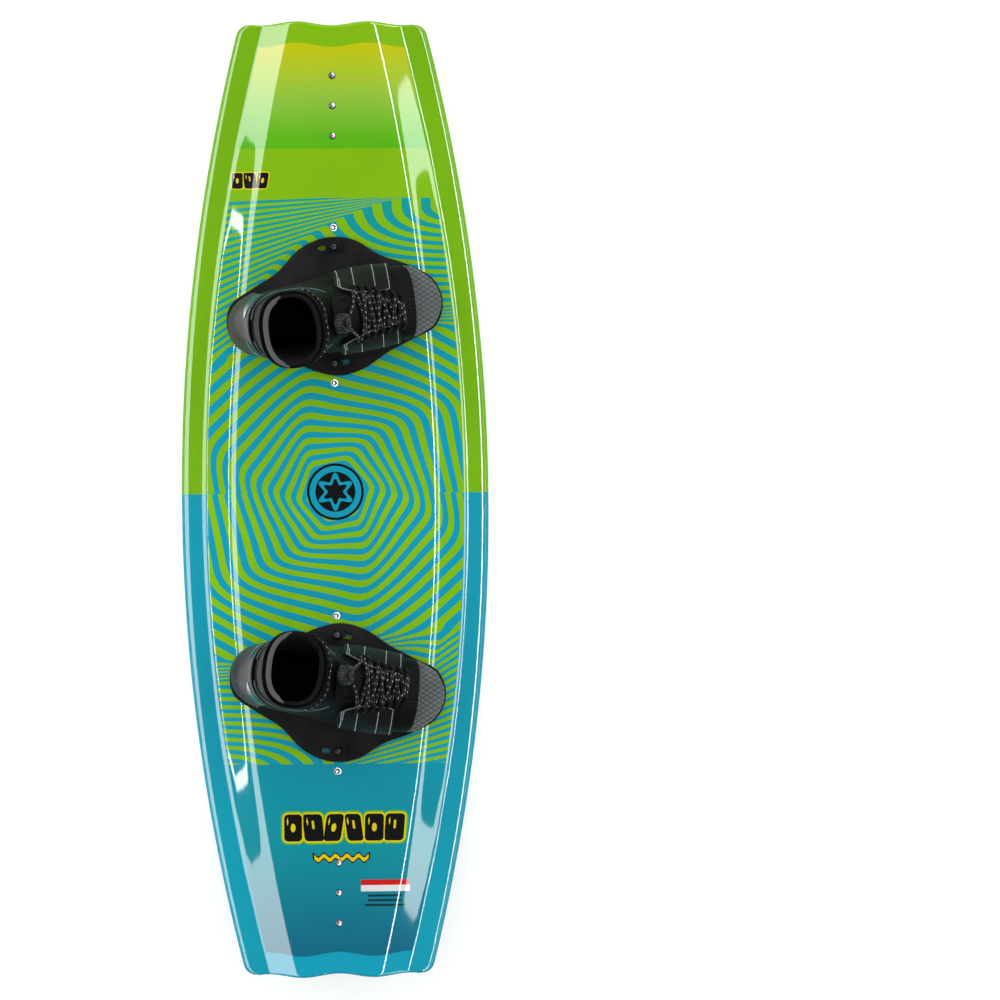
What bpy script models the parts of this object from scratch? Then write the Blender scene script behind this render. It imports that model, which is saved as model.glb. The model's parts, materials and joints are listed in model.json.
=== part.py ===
"""A wakeboard with two open-toe lace-up bindings.

Metres, +Z up. The board lies flat with its deck up, its long axis along Y and the
toes towards +X. The origin is on the floor under the middle of the board.
"""
import math

import bmesh
import bpy
from mathutils import Matrix, Vector

MM = 0.001
INCH = 0.0254

# ---- board -------------------------------------------------------------------
BOARD_LENGTH = 1240 * MM
BOARD_WIDTH = 402 * MM
TIP_WIDTH = 239 * MM
OUTLINE_POWER = 2.05
CORNER_RADIUS = 16 * MM
TIP_WAVE_DEPTH = 5 * MM
TIP_WAVE_PITCH = 92 * MM
TIP_WAVE_REACH = 90 * MM
ROCKER_HEIGHT = 62 * MM
ROCKER_FLAT = 130 * MM
ROCKER_POWER = 2.5
CENTRE_THICKNESS = 18 * MM
TIP_THICKNESS = 14 * MM
RIM_THICKNESS = 10 * MM
RIM_WIDTH = 27 * MM
PLATFORM_HALF_WIDTH = 128 * MM
TIP_PLATFORM_HALF_WIDTH = 44 * MM
BASE_PANEL_HALF_WIDTH = 114 * MM
CHINE_RISE = 2.5 * MM
TUCK_RISE = 1.5 * MM
CHANNEL_CENTRE = 80 * MM
CHANNEL_HALF_WIDTH = 36 * MM
CHANNEL_DEPTH = 4 * MM
CHANNEL_START = 230 * MM
RAIL_ROUND = 4 * MM
SKIN = 1.5 * MM
BOARD_ROWS = 30
BOARD_COLUMNS = 13

# ---- fasteners and fins ----------------------------------------------------------
STANCE = 20 * INCH
INSERT_STEPS = (2 * INCH, 3 * INCH, 4 * INCH)
BOLT_STEP = 3 * INCH
INSERT_FLANGE_RADIUS = 5.0 * MM
INSERT_RADIUS = 4.0 * MM
INSERT_FLANGE = 1.2 * MM
INSERT_DEPTH = 11.5 * MM
BOLT_RADIUS = 2.4 * MM
BOLT_HEAD_RADIUS = 5.4 * MM
BOLT_HEAD = 2.6 * MM
BOLT_BITE = 7 * MM
BOLT_CLEARANCE = 0.5 * MM
WASHER_LENGTH = 22 * MM
WASHER_WIDTH = 13 * MM
WASHER_THICKNESS = 2.2 * MM
OUTER_WASHER_TURN = math.radians(8)
INNER_WASHER_TURN = math.radians(-22)
FIN_LENGTH = 200 * MM
FIN_THICKNESS = 10 * MM
FIN_HEIGHT = 24 * MM
FIN_CENTRE = 495 * MM
FIN_SCREW_STEP = 1.5 * INCH
FIN_SCREW_SHIFT = 16 * MM           # the screws' middle, from the fin's towards the tip
FIN_SCREW_HEAD_RADIUS = 4.3 * MM
FIN_SCREW_HEAD = 2.4 * MM
FIN_SCREW_RADIUS = 2.0 * MM
FIN_SCREW_BITE = 9 * MM

# ---- bindings ----------------------------------------------------------------------
DUCK_ANGLE = math.radians(7)
STANCE_PLAY = math.radians(12)
PLATE_THICKNESS = 6 * MM
BOOTIE_WALL = 4 * MM
LINER_WALL = 4 * MM
LINER_GAP = 0.6 * MM
FOOTBED_TOP = 11 * MM
PANEL_GAP = 1.5 * MM
PANEL_THICKNESS = 2.0 * MM
TONGUE_THICKNESS = 4.0 * MM
COUNTER_THICKNESS = 2.4 * MM
LACE_RADIUS = 1.9 * MM
LOCK_RADIUS = 13 * MM
LOCK_HEIGHT = 12 * MM
LOCK_BUTTON_RADIUS = 6.2 * MM
LOCK_BUTTON_PROUD = 2.6 * MM
LOCK_BUTTON_TRAVEL = 2.2 * MM
LOCK_SLIDE = 5 * MM
LOCK_CLEARANCE = 1.4 * MM
LOCK_END = -3 * MM
GAP = 0.3 * MM
ROUND_STEPS = 10

# The boot's side view. Each row is a section through the boot, from the cuff's rim
# round the heel to the toe opening: its back or sole end, then its shin or instep
# end, both as (along the foot, height above the plate), its half width, and how far
# its middle lies from the bolts' line. All in mm.
BOOT_SECTIONS = (
    ((-97, 172), (-19, 156), 51, -28),
    ((-100, 145), (-13, 136), 48, -24),
    ((-104, 113), (-4, 119), 45, -21),
    ((-114, 82), (5, 108), 43, -18),
    ((-127, 50), (13, 101), 42, -15),
    ((-136, 20), (20, 96), 43, -13),
    ((-120, -9), (27, 92), 45, -13),
    ((-78, -10), (33, 87), 48, -12),
    ((-30, -10), (42, 80), 51, -11),
    ((18, -10), (56, 71), 52, -9),
    ((56, -10), (79, 57), 50, -8),
    ((84, -10), (106, 41), 48, -8),
)
BOOT_LAST = len(BOOT_SECTIONS) - 1
LOCK_PLACE = (-4, -25)
BOOT_ROUNDNESS = 2.4
BOOTIE_START = 0.55
LINER_START = 0.08
LINER_END = 4.6
BOOT_ROWS = 15
BOOT_COLUMNS = 20

# The plate's outline as (along the foot, across it towards the board's tip), in mm,
# joined by a smooth curve.
PLATE_OUTLINE = (
    (-142, -9), (-133, 18), (-101, 36), (-68, 52), (-36, 78), (0, 89), (36, 82),
    (68, 58), (104, 40), (133, 18), (142, -14), (128, -44), (96, -57), (62, -70),
    (28, -87), (-6, -92), (-40, -80), (-70, -60), (-104, -48), (-134, -34),
)
THROAT_OUTER = ((-10, 30), (12, 15), (31, 8), (55, 7), (78, 8))
THROAT_INNER = ((-24, -60), (2, -51), (20, -44), (38, -37), (82, -31))
TONGUE_OUTER = ((-6, 8), (12, 9), (31, 3), (55, 2), (78, 2))
TONGUE_INNER = ((-6, -44), (20, -39), (38, -32), (82, -26))
LACE_ROWS = ((84, -4, -33), (74, 0, -34), (64, 3, -35), (54, 6, -37), (44, 9, -39), (34, 11, -42),
             (25, 13, -45))


# ---- small helpers --------------------------------------------------------------------
def smooth_step(low, high, value):
    share = min(1.0, max(0.0, (value - low) / (high - low)))
    return share * share * (3 - 2 * share)


def lerp(a, b, share):
    return a + (b - a) * share


def between(rows, at):
    """Catmull-Rom value of a list of number tuples at a fractional index."""
    at = min(max(at, 0.0), len(rows) - 1.0)
    i = min(int(at), len(rows) - 2)
    f = at - i
    p1, p2 = rows[i], rows[i + 1]
    p0 = rows[i - 1] if i else tuple(2 * a - b for a, b in zip(p1, p2))
    p3 = rows[i + 2] if i + 2 < len(rows) else tuple(2 * b - a for a, b in zip(p1, p2))
    return tuple(
        b + 0.5 * f * (c - a + f * (2 * a - 5 * b + 4 * c - d + f * (3 * (b - c) + d - a)))
        for a, b, c, d in zip(p0, p1, p2, p3)
    )


def smooth_loop(points, per_span):
    """A closed Catmull-Rom curve through the points."""
    wrapped = [points[-1], *points, points[0], points[1]]
    out = []
    for i in range(1, len(points) + 1):
        for k in range(per_span):
            out.append(between(wrapped, i + k / per_span))
    return out


def value_at(points, along):
    """Straight-line interpolation in a list of (along, value)."""
    for (a, va), (b, vb) in zip(points, points[1:]):
        if along <= b or (b, vb) == points[-1]:
            return lerp(va, vb, min(1.0, max(0.0, (along - a) / (b - a))))


def paint(name, colour, roughness, metallic=0.0):
    """A named material, made once."""
    found = bpy.data.materials.get(name)
    if found:
        return found
    material = bpy.data.materials.new(name)
    material.use_nodes = True
    shader = material.node_tree.nodes["Principled BSDF"]
    shader.inputs["Base Color"].default_value = (*colour, 1)
    shader.inputs["Roughness"].default_value = roughness
    shader.inputs["Metallic"].default_value = metallic
    return material


MATERIALS = {
    "deck_gloss": ((0.22, 0.52, 0.01), 0.12),
    "base_gloss": ((0.01, 0.42, 0.30), 0.12),
    "foam": ((0.78, 0.72, 0.52), 0.8),
    "fin_plastic": ((0.015, 0.018, 0.015), 0.35),
    "steel": ((0.62, 0.62, 0.62), 0.25, 1.0),
    "black_steel": ((0.02, 0.02, 0.022), 0.35, 1.0),
    "plate_nylon": ((0.013, 0.012, 0.014), 0.55),
    "eva_grey": ((0.14, 0.15, 0.15), 0.8),
    "neoprene": ((0.008, 0.008, 0.009), 0.7),
    "lining": ((0.006, 0.006, 0.006), 0.85),
    "band_grey": ((0.07, 0.07, 0.07), 0.6),
    "counter_grey": ((0.13, 0.12, 0.13), 0.45),
    "quarter_black": ((0.012, 0.013, 0.014), 0.5),
    "lace_black": ((0.01, 0.01, 0.01), 0.8),
    "lock_plastic": ((0.016, 0.016, 0.018), 0.4),
}


def finish(bm, name, material, parent=None, matrix=None):
    """Turns a bmesh into a named object."""
    mesh = bpy.data.meshes.new(name)
    bm.to_mesh(mesh)
    bm.free()
    mesh.shade_smooth()
    mesh.set_sharp_from_angle(angle=math.radians(35))
    mesh.materials.append(paint(material, *MATERIALS[material]))
    obj = bpy.data.objects.new(name, mesh)
    bpy.context.scene.collection.objects.link(obj)
    obj.parent = parent
    if matrix is not None:
        obj.matrix_basis = matrix
    return obj


def mapped_grid(across, along, place, seam=False):
    """A Blender grid of unit size whose points go where place(u, v) says, 0 to 1."""
    bm = bmesh.new()
    bmesh.ops.create_grid(bm, x_segments=across, y_segments=along, size=0.5)
    for vert in bm.verts:
        vert.co = place(round(vert.co.x + 0.5, 6), round(vert.co.y + 0.5, 6))
    if seam:
        bmesh.ops.remove_doubles(bm, verts=bm.verts, dist=0.01 * MM)
    bmesh.ops.recalc_face_normals(bm, faces=bm.faces)
    return bm


def face_out(bm, towards):
    """Turns an open sheet round if its faces don't point along towards(face)."""
    bm.normal_update()
    score = sum(face.normal.dot(towards(face)) * face.calc_area() for face in bm.faces)
    if score < 0:
        bmesh.ops.reverse_faces(bm, faces=bm.faces)
    bm.normal_update()


def solidify(obj, thickness, offset):
    wall = obj.modifiers.new("wall", "SOLIDIFY")
    wall.thickness = thickness
    wall.offset = offset
    wall.use_even_offset = True
    return wall


def turned(name, profile, material, parent, matrix=None, steps=ROUND_STEPS):
    """A round piece: (radius, height) points from axis to axis, spun about Z."""
    bm = bmesh.new()
    verts = [bm.verts.new((radius, 0, height)) for radius, height in profile]
    edges = [bm.edges.new(pair) for pair in zip(verts, verts[1:])]
    bmesh.ops.spin(bm, geom=verts + edges, axis=(0, 0, 1), cent=(0, 0, 0),
                   angle=2 * math.pi, steps=steps, use_merge=True)
    bmesh.ops.remove_doubles(bm, verts=bm.verts, dist=0.005 * MM)
    bmesh.ops.recalc_face_normals(bm, faces=bm.faces)
    return finish(bm, name, material, parent, matrix)


def extruded(outline, low, high):
    """A closed outline of (x, y) points made a slab."""
    bm = bmesh.new()
    face = bm.faces.new([bm.verts.new((x, y, low)) for x, y in outline])
    moved = bmesh.ops.extrude_face_region(bm, geom=[face])
    top = [item for item in moved["geom"] if isinstance(item, bmesh.types.BMVert)]
    bmesh.ops.translate(bm, verts=top, vec=(0, 0, high - low))
    bmesh.ops.recalc_face_normals(bm, faces=bm.faces)
    return bm


def hide(obj):
    obj.hide_render = True
    obj.display_type = "WIRE"
    return obj


def cut(obj, cutters):
    for cutter in cutters:
        hole = obj.modifiers.new("hole_" + cutter.name, "BOOLEAN")
        hole.operation = "DIFFERENCE"
        hole.object = cutter
        hole.solver = "EXACT"


def rod(name, radius, low, high, parent, matrix=None):
    """A hidden round cutter along Z."""
    profile = ((0, high), (radius, high), (radius, low), (0, low))
    return hide(turned(name, profile, "steel", parent, matrix))


def empty(name, matrix, parent=None):
    obj = bpy.data.objects.new(name, None)
    bpy.context.scene.collection.objects.link(obj)
    obj.parent = parent
    obj.matrix_basis = matrix
    return obj


# ---- the board's surfaces ------------------------------------------------------------------
HALF_LENGTH = BOARD_LENGTH / 2


def rocker(y):
    run = max(0.0, abs(y) - ROCKER_FLAT) / (HALF_LENGTH - ROCKER_FLAT)
    return ROCKER_HEIGHT * run ** ROCKER_POWER


def side_half_width(y):
    lost = (BOARD_WIDTH - TIP_WIDTH) / 2
    return BOARD_WIDTH / 2 - lost * min(1.0, abs(y) / HALF_LENGTH) ** OUTLINE_POWER


def plan_point(share, end_share, inset):
    """A point of the outline's plan: both shares run -1 to 1, inset pulls it inwards."""
    reach = HALF_LENGTH - inset
    y = end_share * reach
    radius = max(CORNER_RADIUS - inset, 2 * MM)
    into = max(0.0, abs(y) - (reach - radius))
    width = side_half_width(y) - inset - (radius - math.sqrt(max(0.0, radius ** 2 - into ** 2)))
    x = share * width
    wave = TIP_WAVE_DEPTH * 0.5 * (1 + math.cos(2 * math.pi * x / TIP_WAVE_PITCH))
    wave *= smooth_step(HALF_LENGTH - TIP_WAVE_REACH, HALF_LENGTH, abs(y))
    return x, y - math.copysign(wave, y)


def deck_height(x, y):
    """The deck: a platform that narrows to the tips, falling to a thin rim."""
    tipward = min(1.0, abs(y) / HALF_LENGTH)
    middle = lerp(CENTRE_THICKNESS, TIP_THICKNESS, smooth_step(0.3, 1.0, tipward))
    flat = lerp(PLATFORM_HALF_WIDTH, TIP_PLATFORM_HALF_WIDTH, tipward ** 2)
    rim = side_half_width(y) - RIM_WIDTH
    fall = smooth_step(flat, rim, abs(x))
    return rocker(y) + lerp(middle, RIM_THICKNESS, fall)


def base_height(x, y):
    """The base: flat panel, rising chine, tucked edge, and two channels per tip."""
    edge = side_half_width(y)
    chine_end = edge - RIM_WIDTH
    rise = CHINE_RISE * smooth_step(BASE_PANEL_HALF_WIDTH, BASE_PANEL_HALF_WIDTH + 60 * MM, abs(x))
    rise += TUCK_RISE * smooth_step(chine_end, edge, abs(x))
    from_middle = min(1.0, abs(abs(x) - CHANNEL_CENTRE) / CHANNEL_HALF_WIDTH)
    channel = CHANNEL_DEPTH * 0.5 * (1 + math.cos(math.pi * from_middle))
    channel *= smooth_step(CHANNEL_START, HALF_LENGTH, abs(y))
    return rocker(y) + rise + channel


def rail_height(x, y):
    """Where the deck skin and the base skin meet on the rail."""
    return 0.5 * (deck_height(x, y) + base_height(x, y))


def row_share(share):
    """Rows lie closer together towards the tips."""
    signed = 2 * share - 1
    return math.copysign(1 - (1 - abs(signed)) ** 1.25, signed)


def board_sheet(height, shift, ring_inset, ring_shift, inset):
    """One sheet of the board. Its outer ring lies on the rail, the rest on height."""
    def place(u, v):
        on_ring = min(u, 1 - u) < 0.5 / BOARD_COLUMNS or min(v, 1 - v) < 0.5 / BOARD_ROWS
        across = min(1.0, max(0.0, (u * BOARD_COLUMNS - 1) / (BOARD_COLUMNS - 2)))
        along = min(1.0, max(0.0, (v * BOARD_ROWS - 1) / (BOARD_ROWS - 2)))
        x, y = plan_point(2 * across - 1, row_share(along), ring_inset if on_ring else inset)
        if on_ring:
            return Vector((x, y, rail_height(x, y) + ring_shift))
        return Vector((x, y, height(x, y) + shift))
    bm = mapped_grid(BOARD_COLUMNS, BOARD_ROWS, place)
    bmesh.ops.remove_doubles(bm, verts=bm.verts, dist=0.01 * MM)
    return bm


def joined_sheets(first, second):
    """Two sheets joined along their rims into one closed body."""
    mesh = bpy.data.meshes.new("second_sheet")
    second.to_mesh(mesh)
    second.free()
    first.from_mesh(mesh)
    bpy.data.meshes.remove(mesh)
    bmesh.ops.bridge_loops(first, edges=[edge for edge in first.edges if edge.is_boundary])
    bmesh.ops.recalc_face_normals(first, faces=first.faces)
    return first


def skin_body(height, side):
    """The deck's (side 1) or the base's (side -1) skin with its half of the rail."""
    outside = board_sheet(height, 0.0, 0.0, side * GAP, RAIL_ROUND)
    inside = board_sheet(height, -side * SKIN, SKIN, side * GAP, RAIL_ROUND + 0.5 * SKIN)
    return joined_sheets(outside, inside)


def core_body():
    """The foam between the skins."""
    clear = 1.6 * SKIN + GAP
    ring = SKIN + 3 * GAP
    inset = RAIL_ROUND + SKIN + GAP
    top = board_sheet(deck_height, -clear, ring, GAP, inset)
    bottom = board_sheet(base_height, clear, ring, -GAP, inset)
    return joined_sheets(top, bottom)


# ---- where a binding stands ---------------------------------------------------------------------
def plate_place(side):
    """The frame on the deck under a binding: side 1 is the +Y end, -1 the -Y end.
    Its X runs to the toes, its Y to the board's tip, its Z square to the plate."""
    middle = STANCE / 2
    reach = max(abs(v) for _, v in PLATE_OUTLINE) * MM
    near = deck_height(0, middle - reach)
    far = deck_height(0, middle + reach)
    tilt = math.atan2(far - near, 2 * reach)
    height = 0.5 * (near + far)
    lift = GAP
    for turn in (-STANCE_PLAY, -STANCE_PLAY / 2, 0.0):
        angle = DUCK_ANGLE + turn
        for u, v in PLATE_OUTLINE:
            x = (u * math.cos(angle) - v * math.sin(angle)) * MM
            y = (u * math.sin(angle) + v * math.cos(angle)) * MM
            plane = height + y * math.tan(tilt)
            lift = max(lift, deck_height(x, middle + y) - plane + GAP)
    seat = Matrix.Translation((0, side * middle, height)) @ Matrix.Rotation(side * tilt, 4, "X")
    return seat @ Matrix.Translation((0, 0, lift)), lift


def mirrored(side, u, v):
    """A point of the foot's plan as it lies on that side of the board."""
    return u, side * v


# ---- the boot's surface ------------------------------------------------------------------------------
def section(at):
    flat_rows = [(b[0], b[1], f[0], f[1], w, c) for b, f, w, c in BOOT_SECTIONS]
    return between(flat_rows, at)


def power(value):
    return math.copysign(abs(value) ** (2 / BOOT_ROUNDNESS), value)


def raw_boot_point(at, angle):
    """A point of the bootie's outside, in mm: angle 0 is the shin or instep, pi the
    back or sole, and +pi/2 the side towards the board's tip."""
    bu, bz, fu, fz, half, middle = section(at)
    lengthways = power(math.cos(angle))
    u = 0.5 * (bu + fu) + 0.5 * (fu - bu) * lengthways
    z = 0.5 * (bz + fz) + 0.5 * (fz - bz) * lengthways
    v = middle + half * power(math.sin(angle))
    return Vector((u, v, z))


def boot_normal(at, angle):
    step = 0.03
    low, high = max(0.0, at - step), min(float(BOOT_LAST), at + step)
    lengthways = raw_boot_point(high, angle) - raw_boot_point(low, angle)
    round_it = raw_boot_point(at, angle + step) - raw_boot_point(at, angle - step)
    normal = lengthways.cross(round_it).normalized()
    bu, bz, fu, fz, half, middle = section(at)
    outwards = raw_boot_point(at, angle) - Vector(((bu + fu) / 2, middle, (bz + fz) / 2))
    return normal if normal.dot(outwards) > 0 else -normal


def boot_point(at, angle, out):
    """out is the distance outside the bootie, in metres; the sole is cut flat."""
    point = raw_boot_point(at, angle) * MM
    if out:
        point = point + boot_normal(at, angle) * out
    return point


def section_at(u, angle):
    """Which section passes over that distance along the foot at that angle."""
    low, high = (0.0 if abs(angle) < 1.2 else 4.5), float(BOOT_LAST)
    for _ in range(26):
        mid = 0.5 * (low + high)
        if raw_boot_point(mid, angle).x < u:
            low = mid
        else:
            high = mid
    return 0.5 * (low + high)


def angle_at(u, v):
    """The angle at which the boot's top has that place in plan, in mm."""
    angle = 0.0
    for _ in range(8):
        _, _, _, _, half, middle = section(section_at(u, angle))
        share = min(0.97, max(-0.97, (v - middle) / half))
        angle = math.asin(math.copysign(abs(share) ** (BOOT_ROUNDNESS / 2), share))
    return angle


def on_boot(u, v, out):
    """The point of the boot's top at that place in plan."""
    angle = angle_at(u, v)
    return boot_point(section_at(u, angle), angle, out)


# ---- building the board ----------------------------------------------------------------------------------
def build_fin(side, parent):
    """A long low fin with a lens-shaped root, its top following the base."""
    stations = 14
    ring_shape = ((1, 0.0), (0.8, 0.45), (0.45, 0.82), (0.0, 1.0), (-0.45, 0.82), (-0.8, 0.45), (-1, 0.0))

    def place(u, v):
        along = lerp(0.03, 0.97, v)
        swell = math.sin(math.pi * along)
        y = FIN_CENTRE + (along - 0.5) * FIN_LENGTH
        top = base_height(0, y) - 2 * GAP
        across, down = ring_shape[round(u * (len(ring_shape) - 1))]
        half = 0.5 * FIN_THICKNESS * swell ** 0.8
        return Vector((across * half, side * y, top - 0.4 * MM - down * (FIN_HEIGHT * swell ** 0.9)))

    bm = mapped_grid(len(ring_shape) - 1, stations, place)
    rim = [edge for edge in bm.edges if edge.is_boundary]
    loops = bmesh.ops.holes_fill(bm, edges=rim, sides=0)
    bmesh.ops.triangulate(bm, faces=loops["faces"])
    bmesh.ops.recalc_face_normals(bm, faces=bm.faces)
    return finish(bm, f"{'front' if side > 0 else 'rear'}_fin", "fin_plastic", parent)


def build_board():
    seat = empty("board", Matrix.Identity(4))
    deck = finish(skin_body(deck_height, 1), "deck_skin", "deck_gloss", seat)
    base = finish(skin_body(base_height, -1), "base_skin", "base_gloss", seat)
    core = finish(core_body(), "foam_core", "foam", seat)

    for side, end in ((1, "front"), (-1, "rear")):
        place, _ = plate_place(side)
        for which, step in enumerate(sorted([*INSERT_STEPS, *(-s for s in INSERT_STEPS)])):
            y = side * (STANCE / 2 + step)
            tilt = place.to_euler().x
            matrix = Matrix.Translation((0, y, deck_height(0, y))) @ Matrix.Rotation(tilt, 4, "X")
            build_insert(f"{end}_insert_{which + 1}", matrix, deck, core, seat)
        fin = build_fin(side, seat)
        for which in range(3):
            y = FIN_CENTRE + FIN_SCREW_SHIFT + (which - 1) * FIN_SCREW_STEP
            slope = math.atan2(rocker(y + MM) - rocker(y - MM), 2 * MM)
            matrix = Matrix.Translation((0, side * y, deck_height(0, y)))
            matrix = matrix @ Matrix.Rotation(side * slope, 4, "X")
            build_fin_screw(f"{end}_fin_screw_{which + 1}", matrix, y, (deck, core, base, fin), seat)
    return seat


def build_insert(name, matrix, deck, core, parent):
    """A flanged threaded insert, open at the deck, its thread plain here."""
    bore = BOLT_RADIUS + BOLT_CLEARANCE
    low = -INSERT_DEPTH
    turned(name, (
        (0, low), (INSERT_RADIUS, low), (INSERT_RADIUS, -INSERT_FLANGE),
        (INSERT_FLANGE_RADIUS, -INSERT_FLANGE), (INSERT_FLANGE_RADIUS, 0),
        (bore, 0), (bore, low + 1.2 * MM), (0, low + 1.2 * MM)), "steel", parent, matrix)
    hole = rod("cut_" + name, INSERT_FLANGE_RADIUS + GAP, low - GAP, 4 * MM, parent, matrix)
    cut(deck, [hole])
    cut(core, [hole])


def build_fin_screw(name, matrix, y, pieces, parent):
    """A countersunk screw from the deck, through the board and into the fin."""
    through = deck_height(0, y) - base_height(0, y)
    tip = -(through + FIN_SCREW_BITE)
    cone = -FIN_SCREW_HEAD
    turned(name, (
        (0, 0.2 * MM - 1.3 * MM), (0.5 * FIN_SCREW_RADIUS, 0.2 * MM - 1.3 * MM),
        (0.9 * FIN_SCREW_RADIUS, 0.2 * MM), (FIN_SCREW_HEAD_RADIUS, 0.2 * MM),
        (FIN_SCREW_HEAD_RADIUS, -0.5 * MM), (FIN_SCREW_RADIUS, cone),
        (FIN_SCREW_RADIUS, tip), (0, tip)), "steel", parent, matrix)
    head, shank = FIN_SCREW_HEAD_RADIUS + GAP, FIN_SCREW_RADIUS + GAP
    hole = hide(turned("cut_" + name, (
        (0, 4 * MM), (head, 4 * MM), (head, cone - GAP), (shank, cone - GAP),
        (shank, tip - GAP), (0, tip - GAP)), "steel", parent, matrix))
    for piece in pieces:
        cut(piece, [hole])


# ---- building a binding ----
def slot_outline(middle_angle, swing):
    """An arc slot about the binding's centre, round at both ends."""
    radius = BOLT_RADIUS + 2 * BOLT_CLEARANCE
    outline = []
    steps = 6
    for k in range(steps + 1):
        a = middle_angle + swing * k / steps
        outline.append(((BOLT_STEP + radius) * math.cos(a), (BOLT_STEP + radius) * math.sin(a)))
    end = middle_angle + swing
    for k in range(1, 5):
        a = end + math.copysign(math.pi * k / 5, swing)
        outline.append((BOLT_STEP * math.cos(end) + radius * math.cos(a),
                        BOLT_STEP * math.sin(end) + radius * math.sin(a)))
    for k in range(steps, -1, -1):
        a = middle_angle + swing * k / steps
        outline.append(((BOLT_STEP - radius) * math.cos(a), (BOLT_STEP - radius) * math.sin(a)))
    for k in range(1, 5):
        a = middle_angle + math.copysign(math.pi * (1 + k / 5), swing)
        outline.append((BOLT_STEP * math.cos(middle_angle) + radius * math.cos(a),
                        BOLT_STEP * math.sin(middle_angle) + radius * math.sin(a)))
    return outline


def build_plate(end, side, foot):
    outline = [(u * MM, side * v * MM) for u, v in smooth_loop(PLATE_OUTLINE, 3)]
    plate = finish(extruded(outline, 0, PLATE_THICKNESS), f"{end}_plate", "plate_nylon", foot)
    extra = math.radians(1.2)
    for which, half_turn in (("outer", math.pi / 2), ("inner", -math.pi / 2)):
        bolt_angle = side * (half_turn - DUCK_ANGLE)
        swing = side * (STANCE_PLAY + 2 * extra)
        start = bolt_angle - side * extra
        slot = extruded(slot_outline(start, swing), -5 * MM, PLATE_THICKNESS + 5 * MM)
        cut(plate, [hide(finish(slot, f"cut_{end}_{which}_slot", "steel", foot))])
    return plate


def build_bolts(end, side, seat, lift):
    """The two bolts with their plate washers. They stay with the board when the
    plate turns."""
    top = PLATE_THICKNESS + GAP
    for which, half_turn, turn in (("outer", 1, OUTER_WASHER_TURN), ("inner", -1, INNER_WASHER_TURN)):
        at = Matrix.Translation((0, side * half_turn * BOLT_STEP, 0))
        half_l, half_w = WASHER_LENGTH / 2, WASHER_WIDTH / 2
        bm = extruded(((half_l, half_w), (-half_l, half_w), (-half_l, -half_w), (half_l, -half_w)),
                      top, top + WASHER_THICKNESS)
        washer = finish(bm, f"{end}_{which}_washer", "plate_nylon", seat,
                        at @ Matrix.Rotation(side * turn, 4, "Z"))
        head = top + WASHER_THICKNESS + GAP
        tip = -lift - BOLT_BITE
        turned(f"{end}_{which}_bolt", (
            (0, head + 0.6 * MM), (BOLT_RADIUS, head + 0.6 * MM), (BOLT_RADIUS, head + BOLT_HEAD),
            (BOLT_HEAD_RADIUS - 1 * MM, head + BOLT_HEAD), (BOLT_HEAD_RADIUS, head + BOLT_HEAD - 1 * MM),
            (BOLT_HEAD_RADIUS, head), (BOLT_RADIUS, head), (BOLT_RADIUS, tip), (0, tip)),
            "black_steel", seat, at)
        cut(washer, [rod(f"cut_{end}_{which}_washer", BOLT_RADIUS + BOLT_CLEARANCE,
                         0, head + 5 * MM, seat, at)])


def build_bootie(end, side, foot):
    """The neoprene tube, from the ankle round the heel to the open toe."""
    floor = GAP

    def place(u, v):
        at = lerp(BOOTIE_START, BOOT_LAST, v)
        point = boot_point(at, 2 * math.pi * u, 0)
        return Vector((point.x, side * point.y, max(point.z, floor)))

    bm = mapped_grid(BOOT_COLUMNS, BOOT_ROWS, place, seam=True)
    middle = Vector((-20 * MM, -side * 12 * MM, 60 * MM))
    face_out(bm, lambda face: face.calc_center_median() - middle)
    bootie = finish(bm, f"{end}_bootie", "neoprene", foot)
    solidify(bootie, BOOTIE_WALL, -1)
    return bootie


def build_liner(end, side, foot):
    depth = BOOTIE_WALL + LINER_GAP

    def place(u, v):
        point = boot_point(lerp(LINER_START, LINER_END, v), 2 * math.pi * u, -depth)
        return Vector((point.x, side * point.y, point.z))

    bm = mapped_grid(BOOT_COLUMNS, 8, place, seam=True)
    middle = Vector((-45 * MM, -side * 20 * MM, 110 * MM))
    face_out(bm, lambda face: Vector((face.calc_center_median() - middle).xy.to_3d()))
    liner = finish(bm, f"{end}_liner", "lining", foot)
    solidify(liner, LINER_WALL, -1)
    return liner


def layer_patch(name, side, foot, material, spans, place_mm, thickness):
    """A curved panel: a grid laid on the boot, thickened outwards."""
    def place(u, v):
        point = place_mm(u, v)
        return Vector((point.x, side * point.y, point.z))
    bm = mapped_grid(*spans, place)
    middle = Vector((-25 * MM, -side * 12 * MM, 40 * MM))
    face_out(bm, lambda face: face.calc_center_median() - middle)
    panel = finish(bm, name, material, foot)
    solidify(panel, thickness, 1)
    return panel


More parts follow.
